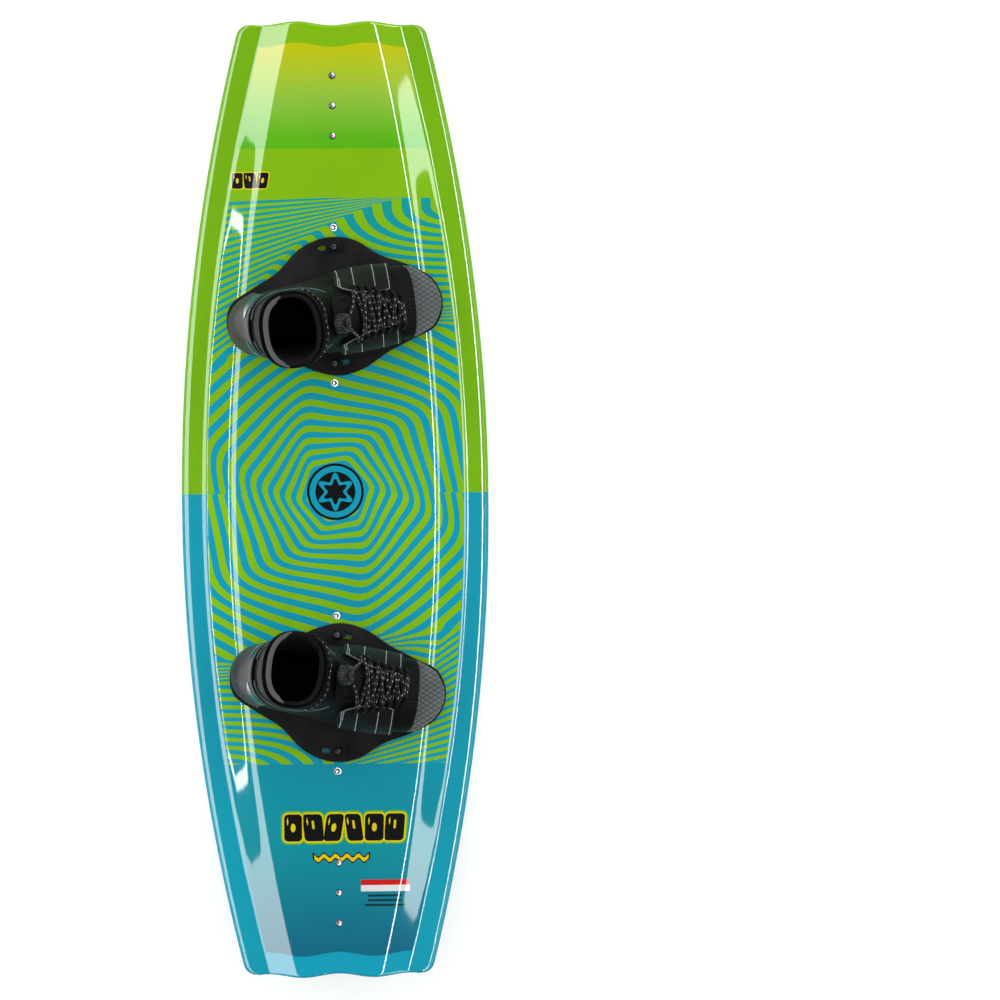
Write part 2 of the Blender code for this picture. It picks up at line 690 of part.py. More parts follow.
def build_overlays(end, side, foot):
    depth = BOOTIE_WALL + LINER_GAP
    half_band = math.radians(80)

    def band(u, v):
        angle = math.pi + lerp(-half_band, half_band, u)
        rim = boot_point(LINER_START, angle, -depth)
        return rim + Vector((0, 0, lerp(1.8 * MM, 6.8 * MM, v)))

    bm_band = layer_patch(f"{end}_cuff_band", side, foot, "band_grey", (12, 1), band, LINER_WALL)
    bm_band.modifiers["wall"].offset = -1

    def counter(u, v):
        angle = math.pi + lerp(-1.1, 1.1, u)
        return boot_point(lerp(2.6, 5.05, v), angle, PANEL_GAP)

    layer_patch(f"{end}_heel_counter", side, foot, "counter_grey", (12, 5), counter, COUNTER_THICKNESS)

    def tongue(u, v):
        along = lerp(-6, 90, v)
        outer, inner = value_at(TONGUE_OUTER, along), value_at(TONGUE_INNER, along)
        return on_boot(along, lerp(inner, outer, u), PANEL_GAP)

    layer_patch(f"{end}_tongue", side, foot, "quarter_black", (6, 10), tongue, TONGUE_THICKNESS)

    for which, edge, first, last, sign in (
            ("outer", THROAT_OUTER, 4, 76, 1), ("inner", THROAT_INNER, 2, 80, -1)):
        def quarter(u, v, edge=edge, first=first, last=last, sign=sign):
            along = lerp(first, last, v)
            start = angle_at(along, value_at(edge, along))
            angle = lerp(start, sign * math.radians(98), u)
            return boot_point(section_at(along, angle), angle, PANEL_GAP)

        layer_patch(f"{end}_{which}_quarter", side, foot, "quarter_black", (6, 8), quarter, PANEL_THICKNESS)


def build_footbed(end, side, foot):
    """The foam sole the foot stands on: narrow inside the bootie, thick and full
    width in front of the toe opening."""
    low = GAP + BOOTIE_WALL + GAP
    inside = ((-113, -13), (-104, 5), (-60, 14), (20, 20), (98, 22), (104, -10), (98, -39),
              (20, -40), (-60, -39), (-104, -30))
    outline = [(u * MM, side * v * MM) for u, v in smooth_loop(inside, 3)]
    top = FOOTBED_TOP
    bed = finish(extruded(outline, low, top), f"{end}_footbed", "eva_grey", foot)
    toe = ((96, 40), (104, 36), (128, 16), (137, -13), (124, -42), (100, -53), (96, -54))
    bm = extruded([(u * MM, side * v * MM) for u, v in toe], GAP, top)
    part = hide(finish(bm, f"join_{end}_toe_pad", "eva_grey", foot))
    union = bed.modifiers.new("toe_pad", "BOOLEAN")
    union.operation = "UNION"
    union.object = part
    union.solver = "EXACT"
    return bed


def lace_route(side, holes):
    """One lace: out of the lock, criss-cross down to the toe, and back to the lock."""
    low = PANEL_GAP + TONGUE_THICKNESS + LACE_RADIUS + 1.8 * MM
    high = low + 2 * LACE_RADIUS + 0.8 * MM
    loops = []
    for along, outer, inner in LACE_ROWS:
        loops.append((on_boot(along, outer, low), on_boot(along, inner, low), along, outer, inner))
    down, up = [], []
    last = len(loops) - 1
    for k in range(last, 0, -1):
        a, b = loops[k], loops[k - 1]
        first_outer = (last - k) % 2 == 0
        for strand, start_outer, height in ((down, first_outer, low), (up, not first_outer, high)):
            v0 = a[3] if start_outer else a[4]
            v1 = b[4] if start_outer else b[3]
            for share in (0.0, 0.3, 0.5, 0.7):
                lift = lerp(low, height, smooth_step(0.0, 0.3, min(share, 1 - share)))
                strand.append(on_boot(lerp(a[2], b[2], share), lerp(v0, v1, share), lift))
    toe_outer, toe_inner = loops[0][0], loops[0][1]
    ends = [toe_outer, toe_inner] if last % 2 == 0 else [toe_inner, toe_outer]
    fan_outer, fan_inner = on_boot(20, -4, low + 1.4 * MM), on_boot(20, -36, low + 1.4 * MM)
    route = [*holes[0], fan_outer, *down, ends[0], lerp_point(ends[0], ends[1], 0.5, 1.5 * MM), ends[1],
             *reversed(up), fan_inner, *reversed(holes[1])]
    return [Vector((p.x, side * p.y, p.z)) for p in route]


def lerp_point(a, b, share, lift):
    point = a.lerp(b, share)
    return point + Vector((0.4 * lift, 0, lift))


def build_lock(end, side, foot):
    """The lace lock: a round body with a sprung button, sitting on the lacing."""
    # it lies along the chord from the shin to the instep, clear of the tongue
    out = PANEL_GAP + TONGUE_THICKNESS + LOCK_CLEARANCE
    u, v = LOCK_PLACE
    back, fore = on_boot(u - 13, v, out), on_boot(u + 16, v, out)
    toe = (fore - back).normalized()
    normal = boot_normal(section_at(u, angle_at(u, v)), angle_at(u, v))
    normal = (normal - toe * normal.dot(toe)).normalized()
    base = 0.5 * (back + fore)
    axes = Matrix((toe, normal.cross(toe), normal)).transposed().to_4x4()
    if side < 0:
        flip = Matrix.Scale(-1, 4, (0, 1, 0))
        axes = flip @ axes @ flip
        base = Vector((base.x, -base.y, base.z))
    place = Matrix.Translation(base) @ axes
    bore = LOCK_BUTTON_RADIUS + GAP
    deep = LOCK_HEIGHT - LOCK_BUTTON_TRAVEL - 3.2 * MM
    body = turned(f"{end}_lace_lock", (
        (0, 0), (LOCK_RADIUS - 1.5 * MM, 0), (LOCK_RADIUS, 1.5 * MM), (LOCK_RADIUS, LOCK_HEIGHT - 2 * MM),
        (LOCK_RADIUS - 2 * MM, LOCK_HEIGHT), (bore, LOCK_HEIGHT), (bore, deep), (0, deep)),
        "lock_plastic", foot, place, steps=20)
    low = deep + LOCK_BUTTON_TRAVEL + GAP
    high = LOCK_HEIGHT + LOCK_BUTTON_PROUD
    turned(f"{end}_lock_button", (
        (0, low), (LOCK_BUTTON_RADIUS, low), (LOCK_BUTTON_RADIUS, high - 1 * MM),
        (LOCK_BUTTON_RADIUS - 1 * MM, high), (0, high)), "lock_plastic", foot, place, steps=16)
    return place


def build_lace(end, side, foot, lock_place):
    """The lace as one tube. It ends in the lock's two blind holes."""
    mirror = Matrix.Scale(side, 4, (0, 1, 0))
    holes = []
    for hand in (1, -1):
        y = side * hand * 0.48 * LOCK_RADIUS
        z = LACE_RADIUS + 1.2 * MM
        line = (LOCK_END, 0.5 * LOCK_RADIUS, LOCK_RADIUS, LOCK_RADIUS + LOCK_SLIDE + 0.5 * MM)
        holes.append([mirror @ (lock_place @ Vector((x, y, z))) for x in line])
        along_x = Matrix.Rotation(math.pi / 2, 4, "Y")
        hole_place = lock_place @ Matrix.Translation((0, y, z)) @ along_x
        drill = rod(f"cut_{end}_lock_{'a' if hand > 0 else 'b'}", LACE_RADIUS + 2 * GAP,
                    LOCK_END - LOCK_SLIDE - GAP, 2 * LOCK_RADIUS, foot, hole_place)
        cut(bpy.data.objects[f"{end}_lace_lock"], [drill])
    points = lace_route(side, holes)
    curve = bpy.data.curves.new(f"{end}_lace", "CURVE")
    curve.dimensions = "3D"
    curve.bevel_depth = LACE_RADIUS
    curve.bevel_resolution = 1
    curve.use_fill_caps = True
    smooth = []
    for k in range(len(points) - 1):
        steps = 2 if (points[k + 1] - points[k]).length > 9 * MM else 1
        for j in range(steps):
            smooth.append(Vector(between([tuple(p) for p in points], k + j / steps)))
    smooth.append(points[-1])
    spline = curve.splines.new("POLY")
    spline.points.add(len(smooth) - 1)
    for spot, point in zip(spline.points, smooth):
        spot.co = (*point, 1)
    curve.materials.append(paint("lace_black", *MATERIALS["lace_black"]))
    lace = bpy.data.objects.new(f"{end}_lace", curve)
    bpy.context.scene.collection.objects.link(lace)
    lace.parent = foot


def build_binding(end, side):
    place, lift = plate_place(side)
    seat = empty(f"{end}_seat", place)
    build_bolts(end, side, seat, lift)
    foot = empty(f"{end}_binding", Matrix.Rotation(side * DUCK_ANGLE, 4, "Z"), seat)
    build_plate(end, side, foot)
    upper = empty(f"{end}_upper", Matrix.Translation((0, 0, PLATE_THICKNESS)), foot)
    build_bootie(end, side, upper)
    build_liner(end, side, upper)
    build_overlays(end, side, upper)
    build_footbed(end, side, upper)
    lock_place = build_lock(end, side, upper)
    build_lace(end, side, upper, lock_place)


def main():
    for obj in list(bpy.data.objects):
        bpy.data.objects.remove(obj, do_unlink=True)
    build_board()
    build_binding("front", 1)
    build_binding("rear", -1)


main()
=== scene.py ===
import json
import math

import bmesh
import bpy
from mathutils import Matrix, Vector


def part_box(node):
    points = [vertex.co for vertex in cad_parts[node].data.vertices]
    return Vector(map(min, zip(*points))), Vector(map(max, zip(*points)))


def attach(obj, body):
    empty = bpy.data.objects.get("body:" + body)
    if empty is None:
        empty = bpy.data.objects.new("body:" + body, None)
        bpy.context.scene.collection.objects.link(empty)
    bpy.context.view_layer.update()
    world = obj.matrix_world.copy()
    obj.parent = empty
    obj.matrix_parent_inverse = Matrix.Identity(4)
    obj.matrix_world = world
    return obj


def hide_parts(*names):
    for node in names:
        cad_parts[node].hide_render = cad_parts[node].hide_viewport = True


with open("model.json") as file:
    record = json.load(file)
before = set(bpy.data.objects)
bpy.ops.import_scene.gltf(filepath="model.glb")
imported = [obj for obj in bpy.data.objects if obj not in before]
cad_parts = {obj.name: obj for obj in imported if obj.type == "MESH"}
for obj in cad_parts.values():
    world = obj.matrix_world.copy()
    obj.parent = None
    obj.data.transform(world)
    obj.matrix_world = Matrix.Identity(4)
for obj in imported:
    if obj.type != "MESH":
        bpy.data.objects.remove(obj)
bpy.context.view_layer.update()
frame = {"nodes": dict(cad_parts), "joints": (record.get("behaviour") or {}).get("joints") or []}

scene = bpy.context.scene
ends = (("front", 1), ("rear", -1))


# plain helpers

def clamp(low, high, value):
    return min(high, max(low, value))


def mix(a, b, share):
    return a + (b - a) * share


def smoothStep(low, high, value):
    share = clamp(0.0, 1.0, (value - low) / (high - low))
    return share * share * (3 - 2 * share)


def rowAt(rows, at):
    # smooth value between the rows of a table
    at = clamp(0.0, len(rows) - 1.0, at)
    i = min(int(at), len(rows) - 2)
    f = at - i
    p1, p2 = rows[i], rows[i + 1]
    p0 = rows[i - 1] if i else tuple(2 * a - b for a, b in zip(p1, p2))
    p3 = rows[i + 2] if i + 2 < len(rows) else tuple(2 * b - a for a, b in zip(p1, p2))
    return tuple(b + 0.5 * f * (c - a + f * (2 * a - 5 * b + 4 * c - d + f * (3 * (b - c) + d - a)))
                 for a, b, c, d in zip(p0, p1, p2, p3))


def smoothLoop(points, perSpan):
    wrapped = [points[-1], *points, points[0], points[1]]
    return [rowAt(wrapped, i + k / perSpan) for i in range(1, len(points) + 1) for k in range(perSpan)]


def valueAt(points, along):
    for (a, va), (b, vb) in zip(points, points[1:]):
        if along <= b or (b, vb) == points[-1]:
            return mix(va, vb, clamp(0.0, 1.0, (along - a) / (b - a)))


def sRgb(r, g, b):
    # a colour picked on a 0 to 255 scale, as the shader wants it
    return tuple((v / 255 / 12.92 if v < 10 else ((v / 255 + 0.055) / 1.055) ** 2.4)
                 for v in (r, g, b)) + (1.0,)


# mesh helpers

def sheetGrid(across, along, place):
    # a unit grid whose points go where place(u, v) says; the uv map keeps u and v
    bm = bmesh.new()
    uvLayer = bm.loops.layers.uv.new("uv")
    bmesh.ops.create_grid(bm, x_segments=across, y_segments=along, size=0.5)
    for face in bm.faces:
        for loop in face.loops:
            loop[uvLayer].uv = (loop.vert.co.x + 0.5, loop.vert.co.y + 0.5)
    for vert in bm.verts:
        vert.co = place(round(vert.co.x + 0.5, 6), round(vert.co.y + 0.5, 6))
    return bm


def turnOut(bm, away):
    # flips an open sheet whose faces look the wrong way; away(face) is the right way
    bmesh.ops.recalc_face_normals(bm, faces=bm.faces)
    bm.normal_update()
    if sum(face.normal.dot(away(face)) * face.calc_area() for face in bm.faces) < 0:
        bmesh.ops.reverse_faces(bm, faces=bm.faces)
    bm.normal_update()


def addPiece(name, bm, material, body, slot, replaced=(), angle=38):
    mesh = bpy.data.meshes.new(name)
    bm.to_mesh(mesh)
    bm.free()
    mesh.shade_smooth()
    mesh.set_sharp_from_angle(angle=math.radians(angle))
    mesh.materials.append(material)
    piece = bpy.data.objects.new(name, mesh)
    scene.collection.objects.link(piece)
    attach(piece, body)
    if slot in ("steel", "black_steel"):
        metalsOnly.objects.link(piece)
    if replaced:
        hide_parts(*replaced)
    return piece


def wall(piece, thickness, offset=-1, rim=0.0, even=True):
    made = piece.modifiers.new("wall", "SOLIDIFY")
    made.thickness = thickness
    made.offset = offset
    made.use_even_offset = even
    if rim:
        rounded = piece.modifiers.new("round", "BEVEL")
        rounded.width = rim
        rounded.segments = 3
        rounded.limit_method = "ANGLE"
        rounded.angle_limit = math.radians(50)
        rounded.harden_normals = False
    return made


def spun(profile, steps=32):
    # (radius, height) points from axis to axis, turned about Z
    bm = bmesh.new()
    verts = [bm.verts.new((radius, 0, height)) for radius, height in profile]
    edges = [bm.edges.new(pair) for pair in zip(verts, verts[1:])]
    bmesh.ops.spin(bm, geom=verts + edges, axis=(0, 0, 1), cent=(0, 0, 0), angle=2 * math.pi,
                   steps=steps, use_merge=True)
    bmesh.ops.remove_doubles(bm, verts=bm.verts, dist=0.000004)
    bmesh.ops.recalc_face_normals(bm, faces=bm.faces)
    return bm


def slab(outline, low, high, edge=0.0, segments=3):
    # a closed outline raised to a slab with rounded edges
    bm = bmesh.new()
    face = bm.faces.new([bm.verts.new((x, y, low)) for x, y in outline])
    raised = bmesh.ops.extrude_face_region(bm, geom=[face])
    bmesh.ops.translate(bm, verts=[v for v in raised["geom"] if isinstance(v, bmesh.types.BMVert)],
                        vec=(0, 0, high - low))
    bmesh.ops.recalc_face_normals(bm, faces=bm.faces)
    if edge:
        rims = [e for e in bm.edges if abs(e.verts[0].co.z - e.verts[1].co.z) < 1e-7]
        bmesh.ops.bevel(bm, geom=rims, offset=edge, segments=segments, profile=0.5, affect="EDGES",
                        material=-1)
    return bm


def cutOut(piece, cutters, angle=38):
    # takes the cutters' shapes out of the piece for good, then drops them
    for cutter in cutters:
        made = piece.modifiers.new("cut", "BOOLEAN")
        made.object = cutter
        made.solver = "EXACT"
        made.operation = "DIFFERENCE"
    graph = bpy.context.evaluated_depsgraph_get()
    mesh = bpy.data.meshes.new_from_object(piece.evaluated_get(graph), depsgraph=graph)
    piece.modifiers.clear()
    piece.data = mesh
    mesh.set_sharp_from_angle(angle=math.radians(angle))
    for cutter in cutters:
        bpy.data.objects.remove(cutter)


def looseObject(bm):
    mesh = bpy.data.meshes.new("cutter")
    bm.to_mesh(mesh)
    bm.free()
    made = bpy.data.objects.new("cutter", mesh)
    scene.collection.objects.link(made)
    return made


# node helpers

def pen(tree):
    # put("ShaderNodeMath", (a, b), operation="ADD") adds a node and gives its output
    def put(kind, inputs=(), out=0, **settings):
        node = tree.nodes.new(kind)
        for key, value in settings.items():
            setattr(node, key, value)
        for key, value in (inputs.items() if isinstance(inputs, dict) else enumerate(inputs)):
            value = value.socket if isinstance(value, Wire) else value
            if isinstance(value, bpy.types.NodeSocket):
                tree.links.new(value, node.inputs[key])
            elif value is not None:
                node.inputs[key].default_value = value
        return node.outputs[out]
    return put


class Wire:
    # a number running through a node tree, so that sums read as sums
    def __init__(self, put, socket):
        self.put, self.socket = put, socket

    def math(self, operation, *others):
        return Wire(self.put, self.put("ShaderNodeMath", (self, *others), operation=operation))

    def __add__(self, other):
        return self.math("ADD", other)

    def __sub__(self, other):
        return self.math("SUBTRACT", other)

    def __mul__(self, other):
        return self.math("MULTIPLY", other)

    def __truediv__(self, other):
        return self.math("DIVIDE", other)

    def above(self, other):
        return self.math("GREATER_THAN", other)

    def below(self, other):
        return self.math("LESS_THAN", other)

    def size(self):
        return self.math("ABSOLUTE")

    def flip(self):
        # one minus it
        return Wire(self.put, self.put("ShaderNodeMath", (1.0, self), operation="SUBTRACT"))

    def mixTo(self, other, share):
        return self + (self * -1.0 + other) * share

    def ramp(self, low, high, smooth=False):
        kind = "SMOOTHSTEP" if smooth else "LINEAR"
        return Wire(self.put, self.put("ShaderNodeMapRange", {0: self, 1: low, 2: high},
                                       interpolation_type=kind))


def blendColour(put, share, first, second, how="MIX"):
    return put("ShaderNodeMix", {0: share, 6: first, 7: second}, out=2, data_type="RGBA", blend_type=how)


def placeOf(put, uv=False):
    coords = put("ShaderNodeTexCoord", out=2 if uv else 3)
    parts = put("ShaderNodeSeparateXYZ", [coords]).node
    return coords, [Wire(put, parts.outputs[i]) for i in range(3)]


def newGroup(name, ins, outs):
    group = bpy.data.node_groups.new(name, "ShaderNodeTree")
    for label, kind, value in ins:
        made = group.interface.new_socket(label, in_out="INPUT", socket_type=kind)
        if value is not None:
            made.default_value = value
    for label, kind in outs:
        group.interface.new_socket(label, in_out="OUTPUT", socket_type=kind)
    start, end = group.nodes.new("NodeGroupInput"), group.nodes.new("NodeGroupOutput")
    return group, start, end


def groupOuts(put, group, inputs):
    made = put("ShaderNodeGroup", inputs, node_tree=group).node
    return [Wire(put, output) for output in made.outputs]


def finishShader(name, baseColor=None, roughness=0.5, **sockets):
    # a material with its shader ready; gives (material, put, shader)
    material = bpy.data.materials.new(name)
    material.use_nodes = True
    tree = material.node_tree
    shader = tree.nodes["Principled BSDF"]
    if baseColor is not None:
        shader.inputs["Base Color"].default_value = baseColor
    shader.inputs["Roughness"].default_value = roughness
    for key, value in sockets.items():
        shader.inputs[key.replace("_", " ")].default_value = value
    return material, pen(tree), shader


def join(shader, **wires):
    tree = shader.id_data
    for key, value in wires.items():
        socket = value.socket if isinstance(value, Wire) else value
        tree.links.new(socket, shader.inputs[key.replace("_", " ")])


def bumpInto(put, shader, height, strength, distance, coat=False):
    normal = put("ShaderNodeBump", {"Strength": strength, "Distance": distance, "Height": height})
    join(shader, Normal=normal)
    if coat:
        join(shader, Coat_Normal=normal)


# shared effects

def makeGrainGroup():
    # mottled tone and a fine height for moulded and worn surfaces
    group, start, end = newGroup("surfaceGrain", (
        ("Place", "NodeSocketVector", None), ("Scale", "NodeSocketFloat", 400.0),
        ("Patches", "NodeSocketFloat", 14.0)), (("Height", "NodeSocketFloat"), ("Tone", "NodeSocketFloat"),
                                                ("Smudge", "NodeSocketFloat")))
    put = pen(group)
    fine = put("ShaderNodeTexNoise", {"Vector": start.outputs[0], "Scale": start.outputs[1], "Detail": 3.0})
    cells = put("ShaderNodeTexVoronoi", {"Vector": start.outputs[0], "Scale": start.outputs[1]})
    broad = put("ShaderNodeTexNoise", {"Vector": start.outputs[0], "Scale": start.outputs[2], "Detail": 4.0})
    height = Wire(put, fine) * 0.6 + Wire(put, cells) * 0.4
    group.links.new(height.socket, end.inputs[0])
    group.links.new(Wire(put, broad).ramp(0.3, 0.7).socket, end.inputs[1])
    group.links.new(Wire(put, broad).ramp(0.5, 0.72, True).socket, end.inputs[2])
    return group


def makeWeaveGroup():
    # over and under threads on a flat pair of coordinates
    group, start, end = newGroup("threadWeave", (
        ("Place", "NodeSocketVector", None), ("Threads", "NodeSocketFloat", 900.0)),
        (("Height", "NodeSocketFloat"), ("Over", "NodeSocketFloat")))
    put = pen(group)
    parts = put("ShaderNodeSeparateXYZ", [start.outputs[0]]).node
    threads = Wire(put, start.outputs[1])
    across = (Wire(put, parts.outputs[0]) + Wire(put, parts.outputs[2]) * 0.7) * threads
    along = (Wire(put, parts.outputs[1]) + Wire(put, parts.outputs[2]) * 0.7) * threads
    turn = across.math("SINE") * along.math("SINE")
    over = turn.above(0.0)
    first = across.math("COSINE").size()
    second = along.math("COSINE").size()
    height = first.mixTo(second, over)
    group.links.new(height.socket, end.inputs[0])
    group.links.new(over.socket, end.inputs[1])
    return group


def makeBlobRowGroup():
    # a row of rounded shapes with two outlines: Along runs one unit per shape, Across is centred on 0
    group, start, end = newGroup("blobRow", (
        ("Along", "NodeSocketFloat", 0.0), ("Across", "NodeSocketFloat", 0.0),
        ("Count", "NodeSocketFloat", 6.0), ("Tall", "NodeSocketFloat", 0.62)),
        (("Ink", "NodeSocketFloat"), ("Glow", "NodeSocketFloat"), ("Halo", "NodeSocketFloat")))
    put = pen(group)
    along, across = Wire(put, start.outputs[0]), Wire(put, start.outputs[1])
    count, tall = Wire(put, start.outputs[2]), Wire(put, start.outputs[3])
    cell = (along.math("FLOOR")).math("MAXIMUM", 0.0).math("MINIMUM", count - 1.0)
    local = along - cell - 0.5
    lean = (cell * 2.4).math("SINE") * 0.16
    local = local + across * lean
    odd = (cell * 0.5).math("FRACT").above(0.2)
    swell = (cell * 1.7).math("SINE") * 0.05
    # rounded box distance
    sideways = (local.size() - (swell + 0.25)).math("MAXIMUM", 0.0)
    upwards = (across.size() - (tall - 0.19)).math("MAXIMUM", 0.0)
    outside = (sideways * sideways + upwards * upwards).math("SQRT") - 0.19
    # an eye in every other shape, a bar in the rest
    eye = ((local * 5.2).math("POWER", 2.0) + (across * 3.0).math("POWER", 2.0)).math("SQRT").below(0.62)
    bar = (local.size().below(0.055)) * (across - 0.14).size().below(0.2)
    hole = eye.mixTo(bar, odd)
    gleam = ((local + 0.27).size() + (across - 0.3).size() * 0.22).below(0.045)
    ink = outside.below(0.0) * hole.flip() * gleam.flip()
    group.links.new(ink.socket, end.inputs[0])
    group.links.new(outside.below(0.085).socket, end.inputs[1])
    group.links.new(outside.below(0.15).socket, end.inputs[2])
    return group


grainGroup, weaveGroup, blobGroup = makeGrainGroup(), makeWeaveGroup(), makeBlobRowGroup()


print("helpers ready")


# camera, light and floor

view = {"height": 5.2, "lens": 142.3, "aimAcross": 0.2157, "down": 0.0026, "roll": 0.47}


def makeCamera():
    lens = bpy.data.cameras.new("camera")
    lens.lens = view["lens"]
    lens.clip_end = 60
    camera = bpy.data.objects.new("camera", lens)
    scene.collection.objects.link(camera)
    lean = math.atan2(view["aimAcross"], view["height"] - 0.018)
    camera.matrix_world = (Matrix.Translation((0, -view["down"], view["height"]))
                           @ Matrix.Rotation(-lean, 4, "Y") @ Matrix.Rotation(math.radians(-view["roll"]), 4, "Z"))
    scene.camera = camera


shellsOnly = bpy.data.collections.new("boardShells")
metalsOnly = bpy.data.collections.new("metalFittings")


def makeLight(name, place, target, size, power, only=None, alongX=False):
    # the second size runs along the board, or across it where alongX is set
    lamp = bpy.data.lights.new(name, "AREA")
    lamp.shape = "RECTANGLE"
    lamp.size, lamp.size_y = size
    lamp.energy = power
    made = bpy.data.objects.new(name, lamp)
    scene.collection.objects.link(made)
    away = (Vector(place) - Vector(target)).normalized()
    run = Vector((1, 0, 0) if alongX else (0, 1, 0))
    across = run.cross(away).normalized()
    turn = Matrix((across, away.cross(across), away)).transposed().to_4x4()
    made.matrix_world = Matrix.Translation(place) @ turn
    made.visible_diffuse = only is None
    if only:
        made.light_linking.receiver_collection = only
    made.visible_camera = False
    return made


def makeStudio():
    scene.view_settings.view_transform = "Standard"
    world = bpy.data.worlds.new("studio")
    world.use_nodes = True
    put = pen(world.node_tree)
    back = world.node_tree.nodes["Background"]
    path = put("ShaderNodeLightPath").node
    # white behind the object, softer in reflections
    onto = Wire(put, path.outputs["Is Glossy Ray"]) * -0.68 + 0.73
    white = Wire(put, path.outputs["Is Camera Ray"])
    world.node_tree.links.new(onto.mixTo(1.0, white).socket, back.inputs[1])
    back.inputs[0].default_value = (1, 1, 1, 1)
    scene.world = world
    # long strips run beside the board and draw the streaks on its bevels; they light the board alone
    makeLight("stripLeft", (-0.60, 0, 2.3), (-0.13, 0, 0), (0.38, 5.4), 52, shellsOnly)
    makeLight("stripLeftThin", (-0.98, 0, 2.2), (-0.15, 0, 0), (0.04, 5.4), 16, shellsOnly)
    makeLight("stripRight", (0.44, 0, 2.3), (0.14, 0, 0), (0.06, 5.4), 26, shellsOnly)
    makeLight("stripRightWide", (0.78, 0, 2.3), (0.14, 0, 0), (0.20, 5.4), 30, shellsOnly)
    makeLight("glint", (0.5, 0.3, 3.2), (0, 0, 0), (1.1, 2.2), 60, metalsOnly)
    makeLight("softLeft", (-2.4, 0.5, 1.7), (0, 0, 0), (1.3, 3.0), 25)
    makeLight("softRight", (2.4, 0.8, 1.7), (0, 0, 0), (1.3, 3.0), 17)
    makeLight("softHead", (-0.3, 3.4, 1.6), (0, 0.2, 0), (1.0, 2.0), 15, None, True)
    makeLight("stripUnderLeft", (0.42, 0, -2.3), (0.14, 0, 0), (0.14, 5.4), 9, shellsOnly)
    makeLight("stripUnderRight", (-0.38, 0, -2.3), (-0.14, 0, 0), (0.07, 5.4), 5, shellsOnly)
    makeLight("underLeft", (-1.6, 0, -1.7), (0, 0, 0), (0.35, 3.4), 22)
    makeLight("underRight", (1.7, 0.2, -1.5), (0, 0, 0), (0.6, 3.0), 16)
    # the floor is seen from above only, so the base can be looked at from below
    bm = bmesh.new()
    bmesh.ops.create_grid(bm, x_segments=2, y_segments=2, size=14)
    bmesh.ops.translate(bm, verts=bm.verts, vec=(0, 0, -0.0006))
    mesh = bpy.data.meshes.new("floor")
    bm.to_mesh(mesh)
    bm.free()
    floor = bpy.data.objects.new("floor", mesh)
    scene.collection.objects.link(floor)
    material, put, shader = finishShader("floorPaper", sRgb(196, 196, 196), 0.9, Specular_IOR_Level=0.0,
                                         Emission_Color=(1, 1, 1, 1), Emission_Strength=0.60)
    clear = put("ShaderNodeBsdfTransparent")
    back = put("ShaderNodeNewGeometry", out="Backfacing")
    both = put("ShaderNodeMixShader", {0: back, 1: shader.outputs[0], 2: clear})
    material.node_tree.links.new(both, material.node_tree.nodes["Material Output"].inputs[0])
    mesh.materials.append(material)
    for ray in ("diffuse", "glossy", "transmission", "shadow"):
        setattr(floor, "visible_" + ray, False)


makeCamera()
makeStudio()
print("camera and studio ready")


# board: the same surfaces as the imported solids, finer

board = {"length": 1.240, "width": 0.402, "tipWidth": 0.239, "outlinePower": 2.05, "corner": 0.016,
         "waveDepth": 0.005, "wavePitch": 0.092, "waveReach": 0.090,
         "rocker": 0.062, "rockerFlat": 0.130, "rockerPower": 2.5,
         "middleThick": 0.018, "tipThick": 0.014, "rimThick": 0.010, "rim": 0.027,
         "platform": 0.128, "tipPlatform": 0.044, "basePanel": 0.114, "chine": 0.0025, "tuck": 0.0015,
         "channelAt": 0.080, "channelHalf": 0.036, "channelDeep": 0.004, "channelFrom": 0.230,
         "rail": 0.004, "skin": 0.0015, "gap": 0.0003, "across": 76, "baseAcross": 142,
         "along": 230, "railSteps": 5, "innerBend": 0.30, "outerBend": 0.15,
         "groove": 110 / 132, "grooveDeep": 0.0011, "grooveHalf": 0.0030}
halfLength = board["length"] / 2


def rockerAt(y):
    run = max(0.0, abs(y) - board["rockerFlat"]) / (halfLength - board["rockerFlat"])
    return board["rocker"] * run ** board["rockerPower"]


def sideAt(y):
    lost = (board["width"] - board["tipWidth"]) / 2
    return board["width"] / 2 - lost * min(1.0, abs(y) / halfLength) ** board["outlinePower"]


def planPoint(across, along, inset):
    reach = halfLength - inset
    y = along * reach
    radius = max(board["corner"] - inset, 0.002)
    into = max(0.0, abs(y) - (reach - radius))
    width = sideAt(y) - inset - (radius - math.sqrt(max(0.0, radius ** 2 - into ** 2)))
    x = across * width
    wave = board["waveDepth"] * 0.5 * (1 + math.cos(2 * math.pi * x / board["wavePitch"]))
    wave *= smoothStep(halfLength - board["waveReach"], halfLength, abs(y))
    return x, y - math.copysign(wave, y)


def deckAt(x, y):
    tipward = min(1.0, abs(y) / halfLength)
    middle = mix(board["middleThick"], board["tipThick"], smoothStep(0.3, 1.0, tipward))
    flat = mix(board["platform"], board["tipPlatform"], tipward ** 2)
    edge = sideAt(y)
    rim = edge - board["rim"]
    share = clamp(0.0, 1.0, (abs(x) - flat) / (rim - flat))
    # a plane between two soft bends, the inner one slower
    inner, outer = board["innerBend"], board["outerBend"]
    slope = 1 / (1 - 0.5 * (inner + outer))
    if share < inner:
        fall = slope * share ** 2 / (2 * inner)
    elif share < 1 - outer:
        fall = slope * (share - inner / 2)
    else:
        fall = 1 - slope * (1 - share) ** 2 / (2 * outer)
    lip = 0.0002 * smoothStep(rim - 0.001, rim + 0.004, abs(x))
    lip *= 1 - smoothStep(edge - 0.009, edge - 0.004, abs(x))
    return rockerAt(y) + mix(middle, board["rimThick"], fall) + lip


